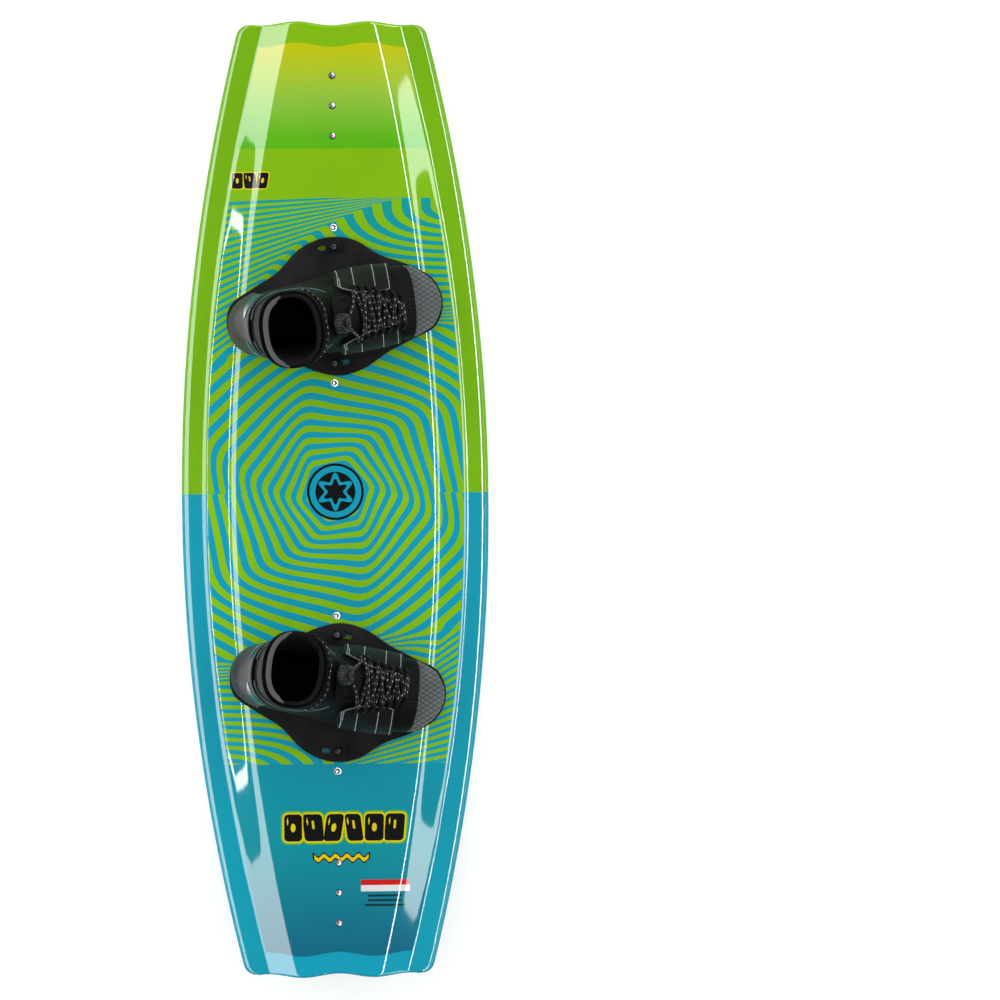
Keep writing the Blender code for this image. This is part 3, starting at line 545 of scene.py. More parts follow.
def baseAt(x, y):
    edge = sideAt(y)
    panel = board["basePanel"]
    rise = board["chine"] * clamp(0.0, 1.0, (abs(x) - panel) / 0.060)
    rise += board["tuck"] * smoothStep(edge - board["rim"], edge, abs(x))
    fromMiddle = min(1.0, abs(abs(x) - board["channelAt"]) / board["channelHalf"])
    channel = board["channelDeep"] * 0.5 * (1 + math.cos(math.pi * fromMiddle))
    channel *= smoothStep(board["channelFrom"], halfLength, abs(y))
    groove = board["groove"] * (edge - board["rail"])      # on a column of the mesh
    near = min(1.0, abs(abs(x) - groove) / board["grooveHalf"])
    cut = board["grooveDeep"] * 0.5 * (1 + math.cos(math.pi * near))
    cut *= 1 - smoothStep(0.36, 0.46, abs(y))
    return rockerAt(y) + rise + channel + cut


def tightRows(share):
    signed = 2 * share - 1
    return math.copysign(1 - (1 - abs(signed)) ** 1.25, signed)


def boardSkin(heightAt, side, across):
    steps, along = board["railSteps"], board["along"]
    wide, tall = across - 2 * steps, along - 2 * steps
    rail = board["rail"]

    def place(u, v):
        column, row = u * across, v * along
        outU = max(0.0, steps - column, column - (across - steps)) / steps
        outV = max(0.0, steps - row, row - (along - steps)) / steps
        out = min(1.0, max(outU, outV))
        inset = rail * (1 - math.sin(out * math.pi / 2))
        inU = clamp(0.0, 1.0, (column - steps) / wide)
        inV = clamp(0.0, 1.0, (row - steps) / tall)
        x, y = planPoint(2 * inU - 1, tightRows(inV), inset)
        if not out:
            return Vector((x, y, heightAt(x, y)))
        middle = 0.5 * (deckAt(x, y) + baseAt(x, y)) + side * board["gap"]
        return Vector((x, y, mix(middle, heightAt(x, y), math.cos(out * math.pi / 2))))

    bm = sheetGrid(across, along, place)
    turnOut(bm, lambda face: Vector((0, 0, side)))
    return bm


def halfWidthWire(y):
    lost = (board["width"] - board["tipWidth"]) / 2
    return (((y.size() / halfLength).math("POWER", board["outlinePower"])) * -lost) + board["width"] / 2


def makeDeckPrint():
    # the printed deck under clear gloss
    art = {"split": 0.008, "edge": 0.033, "top": 0.394, "bottom": -0.346, "panelFrom": 0.458,
           "lime": sRgb(133, 193, 0), "blue": sRgb(0, 163, 192), "teal": sRgb(0, 160, 158)}
    material, put, shader = finishShader("deckPrint", roughness=0.4, Coat_Weight=1.0, Coat_Roughness=0.03,
                                         Coat_IOR=1.5, Specular_IOR_Level=0.04)
    coords, (x, y, z) = placeOf(put)
    upper = y.above(art["split"])
    sign = upper * 2.0 - 1.0
    across = x * sign
    up = (y - art["split"]).size()
    radius = (x * x + up * up).math("SQRT")

    # rings of six rounded sides, turning more the wider they are and spaced wider too
    spin = (radius * 7.0).math("TANH") * -1.0 + 0.49

    def side(degrees):
        turn = spin + math.radians(degrees)
        return (across * turn.math("COSINE") + up * turn.math("SINE")).size().math("POWER", 16.0)
    rings = (side(90) + side(30) + side(-30)).math("POWER", 1 / 16)
    sway = (across * 30.0 + up * 12.0).math("SINE") * radius.ramp(0.06, 0.2) * 0.0030
    ringPhase = ((rings + sway) * 3.6 + 1.0).math("LOGARITHM", math.e) / (3.6 * 0.0108)

    # lines that fan out to one side, and turn down into wide bands on the other
    fanPhase = (up - 0.391) / (across - 0.121) * 27.5
    bandX = ((across * -1.0 + 0.171) / 0.0255).math("MAXIMUM", 0.0)
    bandY = ((up * -1.0 + 0.378) / 0.0105).math("MAXIMUM", 0.0)
    bandPhase = (bandX.math("POWER", 2.6) + bandY.math("POWER", 2.6)).math("POWER", 1 / 2.6) + 1.3
    turned = put("ShaderNodeMath", (fanPhase, bandPhase, 0.8), operation="SMOOTH_MIN")
    outerPhase = bandPhase.mixTo(Wire(put, turned), across.below(0.106))
    outer = (up - (across * 0.16 + 0.208)).ramp(-0.016, 0.016, True)
    phase = ringPhase.mixTo(outerPhase * -1.0 + 36.5, outer)
    stripe = phase.math("FRACT").above(0.5)
    stripe = (stripe - upper).size()                       # swapped across the split

    width = halfWidthWire(y)
    inside = (x.size() - width + art["edge"]).below(0.0)
    between = y.below(art["top"]) * y.above(art["bottom"])
    stripe = stripe * inside * between
    ground = blendColour(put, upper, art["blue"], art["lime"])
    stripeInk = blendColour(put, (up - 0.1).ramp(0.0, 0.28), art["blue"], art["teal"])
    limeInk = blendColour(put, (x * 9.0 + 0.5).math("FRACT") * 0.25, sRgb(140, 200, 0), sRgb(104, 184, 0))
    stripeColour = blendColour(put, upper, limeInk, stripeInk)

    # end panels fade towards the tips
    wave = (x * (2 * math.pi / board["wavePitch"])).math("COSINE") * 0.0028
    panel = inside * ((y.size() + wave).below(halfLength - 0.030))
    topShare = y.ramp(art["panelFrom"], 0.585)
    topRamp = put("ShaderNodeValToRGB", [topShare])
    stops = ((0.0, sRgb(90, 188, 2)), (0.12, sRgb(96, 190, 14)), (0.5, sRgb(148, 201, 62)),
             (0.75, sRgb(176, 206, 40)), (1.0, sRgb(200, 204, 0)))
    setStops(topRamp.node.color_ramp, stops)
    footRamp = put("ShaderNodeValToRGB", [(y * -1.0).ramp(0.346, 0.59)])
    setStops(footRamp.node.color_ramp, ((0.0, sRgb(0, 156, 178)), (0.45, sRgb(0, 150, 164)),
                                        (1.0, sRgb(0, 106, 136))))
    rimColour = blendColour(put, upper, sRgb(4, 160, 184), sRgb(122, 186, 0))
    ground = blendColour(put, inside, rimColour, ground)
    ground = blendColour(put, panel * y.above(art["panelFrom"]), ground, topRamp)
    ground = blendColour(put, panel * y.below(art["bottom"]), ground, footRamp)
    colour = blendColour(put, stripe, ground, stripeColour)

    # roundel in the middle: rings and a plain six-sided star
    fromMiddle = (x * x + (y - 0.010) * (y - 0.010)).math("SQRT")
    angle = (y - 0.010).math("ARCTAN2", x)
    star = fromMiddle * (((angle * 6.0).math("COSINE") * 0.26) + 1.0)
    for limit, ink in ((0.0372, sRgb(10, 12, 12)), (0.0338, art["blue"]), (0.0262, sRgb(8, 9, 10))):
        colour = blendColour(put, fromMiddle.below(limit), colour, ink)
    colour = blendColour(put, star.below(0.0185), colour, art["blue"])
    colour = blendColour(put, star.below(0.0125), colour, sRgb(8, 9, 10))

    # blob row near the foot, and a small row at the head
    for centre, pitch, count, tall in (((-0.072, -0.4285), 0.0265, 6.0, 0.66),
                                       ((-0.133, 0.417), 0.0165, 3.0, 0.62)):
        ink, glow, halo = groupOuts(put, blobGroup, {
            0: (x - centre[0]) / pitch, 1: (y - centre[1]) / pitch, 2: count, 3: tall})
        colour = blendColour(put, halo, colour, sRgb(118, 190, 8))
        colour = blendColour(put, glow, colour, sRgb(232, 214, 10))
        colour = blendColour(put, ink, colour, sRgb(8, 8, 8))

    # small wavy line under the row, then a plain sticker and three bars
    line = (y + 0.4675 + (x * 420.0).math("SINE") * 0.0026).size()
    reach = (x - 0.004).size()
    colour = blendColour(put, line.below(0.0046) * reach.below(0.0375), colour, sRgb(10, 14, 12))
    colour = blendColour(put, line.below(0.0026) * reach.below(0.0355), colour, sRgb(240, 205, 10))
    for centre, half, ink in (((0.061, -0.5035), (0.0320, 0.0075), sRgb(235, 235, 235)),
                              ((0.061, -0.4995), (0.0320, 0.0035), sRgb(214, 20, 24)),
                              ((0.060, -0.5165), (0.0220, 0.0014), sRgb(8, 50, 60)),
                              ((0.060, -0.5225), (0.0220, 0.0014), sRgb(8, 50, 60)),
                              ((0.060, -0.5285), (0.0260, 0.0014), sRgb(8, 50, 60))):
        box = (x - centre[0]).size().below(half[0]) * (y - centre[1]).size().below(half[1])
        colour = blendColour(put, box, colour, ink)

    grain, tone, _ = groupOuts(put, grainGroup, {0: coords, 1: 900.0, 2: 6.0})
    colour = blendColour(put, tone * 0.10, colour, sRgb(0, 40, 30), "MULTIPLY")
    join(shader, Base_Color=colour, Roughness=tone * 0.1 + 0.27)
    ripple = Wire(put, put("ShaderNodeTexNoise", {"Vector": coords, "Scale": 26.0, "Detail": 1.0}))
    bumpInto(put, shader, grain * 0.02 + ripple, 0.05, 0.0004, coat=True)
    return material


def setStops(ramp, stops):
    while len(ramp.elements) < len(stops):
        ramp.elements.new(0.5)
    for element, (position, colour) in zip(ramp.elements, stops):
        element.position = position
        element.color = colour


def makeBasePrint():
    material, put, shader = finishShader("basePrint", roughness=0.4, Coat_Weight=1.0, Coat_Roughness=0.035,
                                         Specular_IOR_Level=0.04)
    coords, (x, y, z) = placeOf(put)
    run = (y + halfLength) / board["length"]
    ramp = put("ShaderNodeValToRGB", [run])
    setStops(ramp.node.color_ramp, (
        (0.0, sRgb(1, 130, 143)), (0.13, sRgb(0, 148, 158)), (0.30, sRgb(0, 176, 186)),
        (0.42, sRgb(0, 186, 190)), (0.50, sRgb(0, 205, 172)), (0.62, sRgb(8, 196, 108)),
        (0.71, sRgb(70, 206, 78)), (0.785, sRgb(108, 200, 0)), (0.81, sRgb(122, 206, 0)),
        (0.83, sRgb(92, 196, 20)), (0.92, sRgb(165, 208, 70)), (0.97, sRgb(200, 206, 4))))
    colour = ramp
    pitch = 0.1245
    ink, glow, halo = groupOuts(put, blobGroup, {
        0: (y + 0.373) / pitch, 1: (x - 0.008) / pitch, 2: 6.0, 3: 0.50})
    colour = blendColour(put, halo, colour, sRgb(140, 200, 8))
    colour = blendColour(put, glow, colour, sRgb(236, 218, 0))
    colour = blendColour(put, ink, colour, sRgb(12, 12, 14))
    for centre, half, inkColour in (((-0.124, 0.002), (0.053, 0.056), sRgb(30, 60, 55)),
                                    ((-0.124, 0.002), (0.0522, 0.0552), sRgb(242, 242, 240)),
                                    ((-0.077, 0.002), (0.0062, 0.0552), sRgb(236, 86, 16))):
        box = (x - centre[0]).size().below(half[0]) * (y - centre[1]).size().below(half[1])
        colour = blendColour(put, box, colour, inkColour)
    bars = (x * 190.0).math("SINE").above(0.35) * (x + 0.131).size().below(0.036)
    bars = bars * (y - 0.002).size().below(0.048)
    colour = blendColour(put, bars, colour, sRgb(150, 150, 150))
    grain, tone, _ = groupOuts(put, grainGroup, {0: coords, 1: 900.0, 2: 7.0})
    colour = blendColour(put, tone * 0.12, colour, sRgb(0, 60, 50), "MULTIPLY")
    join(shader, Base_Color=colour, Roughness=tone * 0.1 + 0.25)
    ripple = Wire(put, put("ShaderNodeTexNoise", {"Vector": coords, "Scale": 22.0, "Detail": 1.0}))
    bumpInto(put, shader, grain * 0.02 + ripple, 0.05, 0.0004, coat=True)
    return material


def makeFoam():
    material, put, shader = finishShader("coreFoam", roughness=0.85)
    coords, _ = placeOf(put)
    grain, tone, _ = groupOuts(put, grainGroup, {0: coords, 1: 700.0, 2: 12.0})
    join(shader, Base_Color=blendColour(put, tone, sRgb(214, 205, 176), sRgb(232, 224, 198)))
    bumpInto(put, shader, grain, 0.5, 0.0008)
    return material


def makeMetal(name, light, dark, roughness):
    material, put, shader = finishShader(name, roughness=roughness, Metallic=1.0)
    coords, _ = placeOf(put)
    grain, tone, _ = groupOuts(put, grainGroup, {0: coords, 1: 2600.0, 2: 120.0})
    join(shader, Base_Color=blendColour(put, tone, light, dark), Roughness=tone * 0.15 + roughness)
    bumpInto(put, shader, grain, 0.15, 0.0001)
    return material


def makePlastic(name, light, dark, roughness, scale, depth, coat=0.0):
    # moulded plastic with a fine texture and rubbed patches
    material, put, shader = finishShader(name, roughness=roughness, Coat_Weight=coat, Coat_Roughness=0.15)
    coords, _ = placeOf(put)
    grain, tone, smudge = groupOuts(put, grainGroup, {0: coords, 1: scale, 2: 22.0})
    colour = blendColour(put, tone, dark, light)
    colour = blendColour(put, grain * 0.22, colour, light)
    join(shader, Base_Color=colour, Roughness=smudge * 0.14 + roughness)
    bumpInto(put, shader, grain, 0.6, depth)
    return material


fastener = {"insertBore": 0.0029, "insertRim": 0.0050, "screwHead": 0.0043}


def buildBoard():
    deckPrint, basePrint = makeDeckPrint(), makeBasePrint()
    steel = makeMetal("stainless", sRgb(206, 206, 210), sRgb(150, 150, 154), 0.2)
    finBlack = makePlastic("finPlastic", sRgb(44, 52, 40), sRgb(24, 28, 22), 0.28, 900.0, 0.00012, 0.5)
    deck = addPiece("deckShell", boardSkin(deckAt, 1, board["across"]), deckPrint, "board",
                    "deck_gloss", ["deck_skin"])
    wall(deck, board["skin"], even=False)
    shellsOnly.objects.link(deck)
    base = addPiece("baseShell", boardSkin(baseAt, -1, board["baseAcross"]), basePrint, "board",
                    "base_gloss", ["base_skin"])
    wall(base, board["skin"], even=False)
    shellsOnly.objects.link(base)
    frame["nodes"]["foam_core"].data.materials.clear()
    frame["nodes"]["foam_core"].data.materials.append(makeFoam())
    holes = []
    for end, side in ends:
        for which in range(1, 7):
            node = f"{end}_insert_{which}"
            holes.append(buildInsert(node, side, steel))
        for which in range(1, 4):
            holes.append(buildFinScrew(f"{end}_fin_screw_{which}", side, steel))
        buildFin(end, side, finBlack)
    cutOut(deck, holes)
    print("board ready")


def deckPlace(y):
    # a frame on the deck's middle line, square to the deck
    slope = math.atan2(deckAt(0, y + 0.001) - deckAt(0, y - 0.001), 0.002)
    return Matrix.Translation((0, y, deckAt(0, y))) @ Matrix.Rotation(slope, 4, "X")


def buildInsert(node, side, steel):
    low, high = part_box(node)
    y = (low.y + high.y) / 2
    place = deckPlace(y)
    bore, rim = fastener["insertBore"], fastener["insertRim"]
    profile = [(0, -0.0112), (0.0040, -0.0112), (0.0040, -0.0014), (rim, -0.0012), (rim, -0.0003),
               (rim - 0.0004, 0.00005), (bore + 0.0008, 0.0001), (bore, -0.0006)]
    for turn in range(7):
        profile += [(bore - 0.0003, -0.0012 - turn * 0.0012), (bore, -0.0018 - turn * 0.0012)]
    profile.append((0, -0.0100))
    bm = spun(profile, 28)
    bmesh.ops.transform(bm, matrix=place, verts=bm.verts)
    addPiece(node + "_metal", bm, steel, "board", "steel", [node])
    hole = spun(((0, 0.004), (rim + 0.0002, 0.004), (rim + 0.0002, -0.006), (0, -0.006)), 32)
    bmesh.ops.transform(hole, matrix=place, verts=hole.verts)
    return looseObject(hole)


def crossRecess(bm, from_, to, deep):
    # presses a four-armed driver recess into a head's middle rings
    for vert in bm.verts:
        radius = math.hypot(vert.co.x, vert.co.y)
        if from_ < radius < to and vert.co.z > -deep - 1e-6:
            turn = math.atan2(vert.co.y, vert.co.x)
            arm = 0.42 + 0.58 * abs(math.cos(2 * turn)) ** 1.6
            vert.co.x *= arm
            vert.co.y *= arm


def buildFinScrew(node, side, steel):
    low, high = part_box(node)
    y = (low.y + high.y) / 2
    place = deckPlace(y)
    head = fastener["screwHead"]
    top = 0.0006
    bm = spun(((0, top - 0.0022), (0.0006, top - 0.0021), (0.0021, top - 0.0012), (0.0026, top),
               (head - 0.0009, top - 0.0001), (head - 0.0002, top - 0.0004), (head, -0.0006),
               (0.0020, -0.0024), (0.0020, -0.018), (0.0012, -0.0200), (0, -0.0205)), 32)
    crossRecess(bm, 0.0004, 0.0029, 0.0030)
    bmesh.ops.transform(bm, matrix=place, verts=bm.verts)
    addPiece(node + "_metal", bm, steel, "board", "steel", [node])
    hole = spun(((0, 0.004), (head + 0.0004, 0.004), (head + 0.0004, -0.0012), (0.0023, -0.0026),
                 (0.0023, -0.006), (0, -0.006)), 32)
    bmesh.ops.transform(hole, matrix=place, verts=hole.verts)
    return looseObject(hole)


def buildFin(end, side, finBlack):
    fin = {"length": 0.2, "thick": 0.010, "tall": 0.024, "at": 0.495}

    def place(u, v):
        along = mix(0.012, 0.988, v)
        swell = math.sin(math.pi * along)
        y = fin["at"] + (along - 0.5) * fin["length"]
        root = baseAt(0, y) - 0.0004
        turn = u * math.pi
        across = math.cos(turn)
        down = math.sin(turn) ** 0.8
        half = 0.5 * fin["thick"] * swell ** 0.8
        return Vector((math.copysign(abs(across) ** 1.25, across) * half, side * y,
                       root - down * fin["tall"] * swell ** 0.9))

    bm = sheetGrid(20, 60, place)
    open_ = [edge for edge in bm.edges if edge.is_boundary]
    bmesh.ops.holes_fill(bm, edges=open_, sides=0)
    bmesh.ops.recalc_face_normals(bm, faces=bm.faces)
    addPiece(end + "_fin_moulding", bm, finBlack, "board", "fin_plastic", [end + "_fin"], 50)


buildBoard()


# bindings: an open-toed boot on a swivelling plate, one at each end

boot = {"sections": (  # back or sole end, shin or instep end, half width, middle, in mm
            ((-97, 172), (-19, 156), 51, -28), ((-100, 145), (-13, 136), 48, -24),
            ((-104, 113), (-4, 119), 45, -21), ((-114, 82), (5, 108), 43, -18), ((-127, 50), (13, 101), 42, -15), ((-136, 20), (20, 96), 43, -13),
            ((-120, -9), (27, 92), 45, -13), ((-78, -10), (33, 87), 48, -12), ((-30, -10), (42, 80), 51, -11),
            ((18, -10), (56, 71), 52, -9), ((56, -10), (79, 57), 50, -8), ((84, -10), (106, 41), 48, -8)),
        "roundness": 2.4, "from": 0.55, "wall": 0.004, "lining": 0.0046, "duck": 7.0, "plate": 0.006,
        "boltReach": 0.0762, "swing": 12}
plateOutline = ((-142, -9), (-133, 18), (-101, 36), (-68, 52), (-36, 78), (0, 89), (36, 82), (68, 58), (104, 40),
                (133, 18), (142, -14), (128, -44), (96, -57), (62, -70), (28, -87), (-6, -92), (-40, -80),
                (-70, -60), (-104, -48), (-134, -34))
throat = {"outer": ((-10, 30), (12, 15), (31, 8), (55, 7), (78, 8)),
          "inner": ((-24, -60), (2, -51), (20, -44), (38, -37), (82, -31))}
tongueEdge = {"outer": ((-6, 8), (12, 9), (31, 3), (55, 2), (78, 2)),
              "inner": ((-6, -44), (20, -39), (38, -32), (82, -26))}
laceRows = ((84, -4, -33), (74, 0, -34), (64, 3, -35), (54, 6, -37), (44, 9, -39), (34, 11, -42), (25, 13, -45))
lace = {"radius": 0.0019, "lift": 0.0018, "sides": 12, "step": 0.0011}
lock = {"radius": 0.013, "tall": 0.012, "button": 0.0062, "proud": 0.0026, "travel": 0.0022, "end": -0.003,
        "slide": 0.005, "clear": 0.0014, "at": (-4.0, -25.0)}
flatSections = [(b[0], b[1], f[0], f[1], w, c) for b, f, w, c in boot["sections"]]
lastSection = len(flatSections) - 1


def rounded(value):
    return math.copysign(abs(value) ** (2 / boot["roundness"]), value)


def rawBoot(at, angle):
    backX, backZ, frontX, frontZ, half, middle = rowAt(flatSections, at)
    along = rounded(math.cos(angle))
    return Vector((0.5 * (backX + frontX) + 0.5 * (frontX - backX) * along,
                   middle + half * rounded(math.sin(angle)),
                   0.5 * (backZ + frontZ) + 0.5 * (frontZ - backZ) * along)) / 1000


def bootNormal(at, angle):
    low, high = max(0.0, at - 0.03), min(float(lastSection), at + 0.03)
    along = rawBoot(high, angle) - rawBoot(low, angle)
    round_ = rawBoot(at, angle + 0.03) - rawBoot(at, angle - 0.03)
    normal = along.cross(round_).normalized()
    backX, backZ, frontX, frontZ, half, middle = rowAt(flatSections, at)
    outwards = rawBoot(at, angle) - Vector(((backX + frontX) / 2, middle, (backZ + frontZ) / 2)) / 1000
    return normal if normal.dot(outwards) > 0 else -normal


def bootPoint(at, angle, out=0.0):
    # angle 0 is the shin or instep, pi the back or sole, +pi/2 the side towards the board's tip
    point = rawBoot(at, angle)
    return point + bootNormal(at, angle) * out if out else point


def sectionOver(u, angle):
    low, high = (0.0 if abs(angle) < 1.2 else 4.5), float(lastSection)
    for _ in range(22):
        mid = 0.5 * (low + high)
        if rawBoot(mid, angle).x * 1000 < u:
            low = mid
        else:
            high = mid
    return 0.5 * (low + high)


def angleOver(u, v):
    angle = 0.0
    for _ in range(7):
        row = rowAt(flatSections, sectionOver(u, angle))
        share = clamp(-0.97, 0.97, (v - row[5]) / row[4])
        angle = math.asin(math.copysign(abs(share) ** (boot["roundness"] / 2), share))
    return angle


def onBoot(u, v, out):
    # the point of the boot's top over that place in plan, in mm
    angle = angleOver(u, v)
    return bootPoint(sectionOver(u, angle), angle, out)


def crease(at, angle, seed=0.0):
    # slow folds in cloth, between -1 and 1, the same each run
    return (math.sin(at * 2.3 + 1.7 * math.sin(angle * 2 + seed)) * 0.5
            + math.sin(at * 5.1 + angle * 3.0 + seed * 2) * 0.3 + math.sin(angle * 7.0 - at * 3.3 + seed) * 0.2)


def tubeAlong(points, radius, sides=10, flatten=1.0):
    # a closed tube along a smooth path; u runs round it and v along it, in metres
    tangents = [(points[min(i + 1, len(points) - 1)] - points[max(i - 1, 0)]).normalized()
                for i in range(len(points))]
    side = tangents[0].orthogonal().normalized()
    frames, run = [], [0.0]
    for i, tangent in enumerate(tangents):
        side = (side - tangent * side.dot(tangent)).normalized()
        frames.append((side, tangent.cross(side)))
        if i:
            run.append(run[-1] + (points[i] - points[i - 1]).length)
    last = len(points) - 1
    bm = bmesh.new()
    uvLayer = bm.loops.layers.uv.new("uv")
    bmesh.ops.create_grid(bm, x_segments=sides, y_segments=last, size=0.5)
    for face in bm.faces:
        for loop in face.loops:
            i = round((loop.vert.co.y + 0.5) * last)
            loop[uvLayer].uv = (loop.vert.co.x + 0.5, run[i])
    for vert in bm.verts:
        i = round((vert.co.y + 0.5) * last)
        turn = 2 * math.pi * (vert.co.x + 0.5)
        reach = radius(run[i] / run[-1]) if callable(radius) else radius
        a, b = frames[i]
        vert.co = points[i] + (a * math.cos(turn) + b * math.sin(turn) * flatten) * reach
    bmesh.ops.remove_doubles(bm, verts=bm.verts, dist=0.000002)
    bmesh.ops.holes_fill(bm, edges=[edge for edge in bm.edges if edge.is_boundary], sides=0)
    bmesh.ops.recalc_face_normals(bm, faces=bm.faces)
    return bm


def resample(points, step):
    # even steps along a smooth curve through the points
    rows = [tuple(p) for p in points]
    fine = [Vector(rowAt(rows, k / 10)) for k in range(10 * (len(rows) - 1) + 1)]
    path, left = [fine[0]], step
    for a, b in zip(fine, fine[1:]):
        length = (b - a).length
        while left <= length and length > 1e-9:
            path.append(a.lerp(b, left / length))
            left += step
        left -= length
    if (path[-1] - fine[-1]).length > step * 0.4:
        path.append(fine[-1])
    return path


def stitchRun(bm, path, length=0.0028, gap=0.0011, radius=0.00042):
    # short raised stitches end to end along a path
    stitches = resample(path, length + gap)
    for a, b in zip(stitches, stitches[1:]):
        run = (b - a).normalized()
        made = bmesh.ops.create_uvsphere(bm, u_segments=6, v_segments=4, radius=1.0)
        turn = run.to_track_quat("Z", "Y").to_matrix().to_4x4()
        place = Matrix.Translation(a + run * length * 0.5) @ turn
        place = place @ Matrix.Diagonal((radius, radius, length / 2, 1))
        bmesh.ops.transform(bm, matrix=place, verts=made["verts"])


def placed(bm, side, matrix):
    # a shape made for the +Y end, mirrored for the other, then put in place
    if side < 0:
        bmesh.ops.transform(bm, matrix=Matrix.Scale(-1, 4, (0, 1, 0)), verts=bm.verts)
        bmesh.ops.reverse_faces(bm, faces=bm.faces)
    bmesh.ops.transform(bm, matrix=matrix, verts=bm.verts)
    return bm


def merged(bm, middle):
    bmesh.ops.remove_doubles(bm, verts=bm.verts, dist=0.000004)
    turnOut(bm, lambda face: face.calc_center_median() - middle)
    return bm


# cloth and plastic finishes

def uvPlace(put, scale):
    # the piece's own map, scaled, with its two numbers
    spot = put("ShaderNodeUVMap", uv_map="uv")
    scaled = put("ShaderNodeMapping", {"Vector": spot, "Scale": (*scale, 1.0)})
    apart = put("ShaderNodeSeparateXYZ", {0: scaled}).node
    return scaled, Wire(put, apart.outputs[0]), Wire(put, apart.outputs[1])


def makeCloth(name, light, dark, roughness, threads, depth, sheen=0.3, scale=(1.0, 1.0), ribs=0.0):
    # woven or knitted cloth on the piece's own map
    material, put, shader = finishShader(name, roughness=roughness, Sheen_Weight=sheen, Sheen_Roughness=0.4,
                                         Specular_IOR_Level=0.35)
    spot, _, v = uvPlace(put, scale)
    height, _ = groupOuts(put, weaveGroup, {0: spot, 1: threads})
    coords, _ = placeOf(put)
    grain, tone, smudge = groupOuts(put, grainGroup, {0: coords, 1: 1400.0, 2: 30.0})
    colour = blendColour(put, height, dark, light)
    colour = blendColour(put, tone * 0.35, colour, dark)
    join(shader, Base_Color=colour, Roughness=smudge * 0.12 + roughness)
    full = height + grain * 0.3
    if ribs:
        full = full + (v * ribs).math("SINE") * 1.4
    bumpInto(put, shader, full, 0.7, depth)
    return material


def makeNeoprene():
    # smooth black foam rubber with a fine jersey face and a ribbed knit band at the toe
    material, put, shader = finishShader("neopreneBlack", roughness=0.62, Sheen_Weight=0.04, Sheen_Roughness=0.35,
                                         Specular_IOR_Level=0.28)
    spot, u, v = uvPlace(put, (1.0, 1.0))
    stretched = put("ShaderNodeMapping", {"Vector": spot, "Scale": (1.0, 1.3, 1.0)})
    height, _ = groupOuts(put, weaveGroup, {0: stretched, 1: 210.0})
    coords, _ = placeOf(put)
    grain, tone, smudge = groupOuts(put, grainGroup, {0: coords, 1: 1600.0, 2: 26.0})
    band = v.above(0.93)
    ribs = (u * 420.0).math("SINE") * 0.5 + 0.5
    relief = height.mixTo(ribs * 2.2, band) + grain * 0.35
    colour = blendColour(put, height * 0.6, sRgb(8, 8, 9), sRgb(19, 19, 20))
    colour = blendColour(put, band * ribs * 0.6, colour, sRgb(26, 26, 28))
    colour = blendColour(put, smudge * 0.35, colour, sRgb(17, 18, 19))
    join(shader, Base_Color=colour, Roughness=tone * 0.16 + 0.5)
    bumpInto(put, shader, relief, 0.6, 0.00018)
    return material


def makeQuarter():
    # coated cloth with a small raised diamond, and a painted teal reflection of the board that grows towards the
    # sole
    material, put, shader = finishShader("quarterPanel", roughness=0.45, Sheen_Weight=0.03, Sheen_Roughness=0.5,
                                          Specular_IOR_Level=0.35)
    _, u, v = uvPlace(put, (1.0, 1.0))
    coords, _ = placeOf(put)
    grain, tone, _ = groupOuts(put, grainGroup, {0: coords, 1: 1200.0, 2: 34.0})
    first = ((u * 60.0 + v * 60.0) * math.pi).math("SINE").size()
    second = ((u * 60.0 - v * 60.0) * math.pi).math("SINE").size()
    weave = first.math("MULTIPLY", second)
    colour = blendColour(put, weave, sRgb(15, 16, 17), sRgb(29, 30, 32))
    # painted reflection: the board's teal bounced onto the panel, stronger towards the sole
    colour = blendColour(put, u.ramp(0.45, 0.85) * 0.6, colour, sRgb(9, 20, 21))
    colour = blendColour(put, tone * 0.3, colour, sRgb(15, 16, 17))
    join(shader, Base_Color=colour, Roughness=tone * 0.2 + 0.4)
    bumpInto(put, shader, weave + grain * 0.4, 0.6, 0.00022)
    return material


def makeLaceCord():
    # a round braid: dark strands crossing both ways, with pale flecks in pairs
    material, put, shader = finishShader("laceBraid", roughness=0.6, Sheen_Weight=0.3, Sheen_Roughness=0.4)
    _, u, v = uvPlace(put, (1.0, 1.0))
    left = ((u * 6.0 + v * 640.0) * math.pi).math("SINE").size()
    right = ((u * 6.0 - v * 640.0) * math.pi).math("SINE").size()
    strands = left.math("MAXIMUM", right)
    lengthwise = (v * 128.0).math("FRACT")
    roundwise = (u * 3.0 + v * 32.0).math("FRACT")
    fleck = lengthwise.below(0.22) * roundwise.below(0.34)
    colour = blendColour(put, strands, sRgb(8, 8, 9), sRgb(28, 28, 30))
    colour = blendColour(put, fleck, colour, sRgb(190, 194, 192))
    coords, _ = placeOf(put)
    grain, tone, _ = groupOuts(put, grainGroup, {0: coords, 1: 2200.0, 2: 60.0})
    join(shader, Base_Color=colour, Roughness=tone * 0.2 + 0.5)
    bumpInto(put, shader, strands + grain * 0.3, 0.8, 0.0003)
    return material


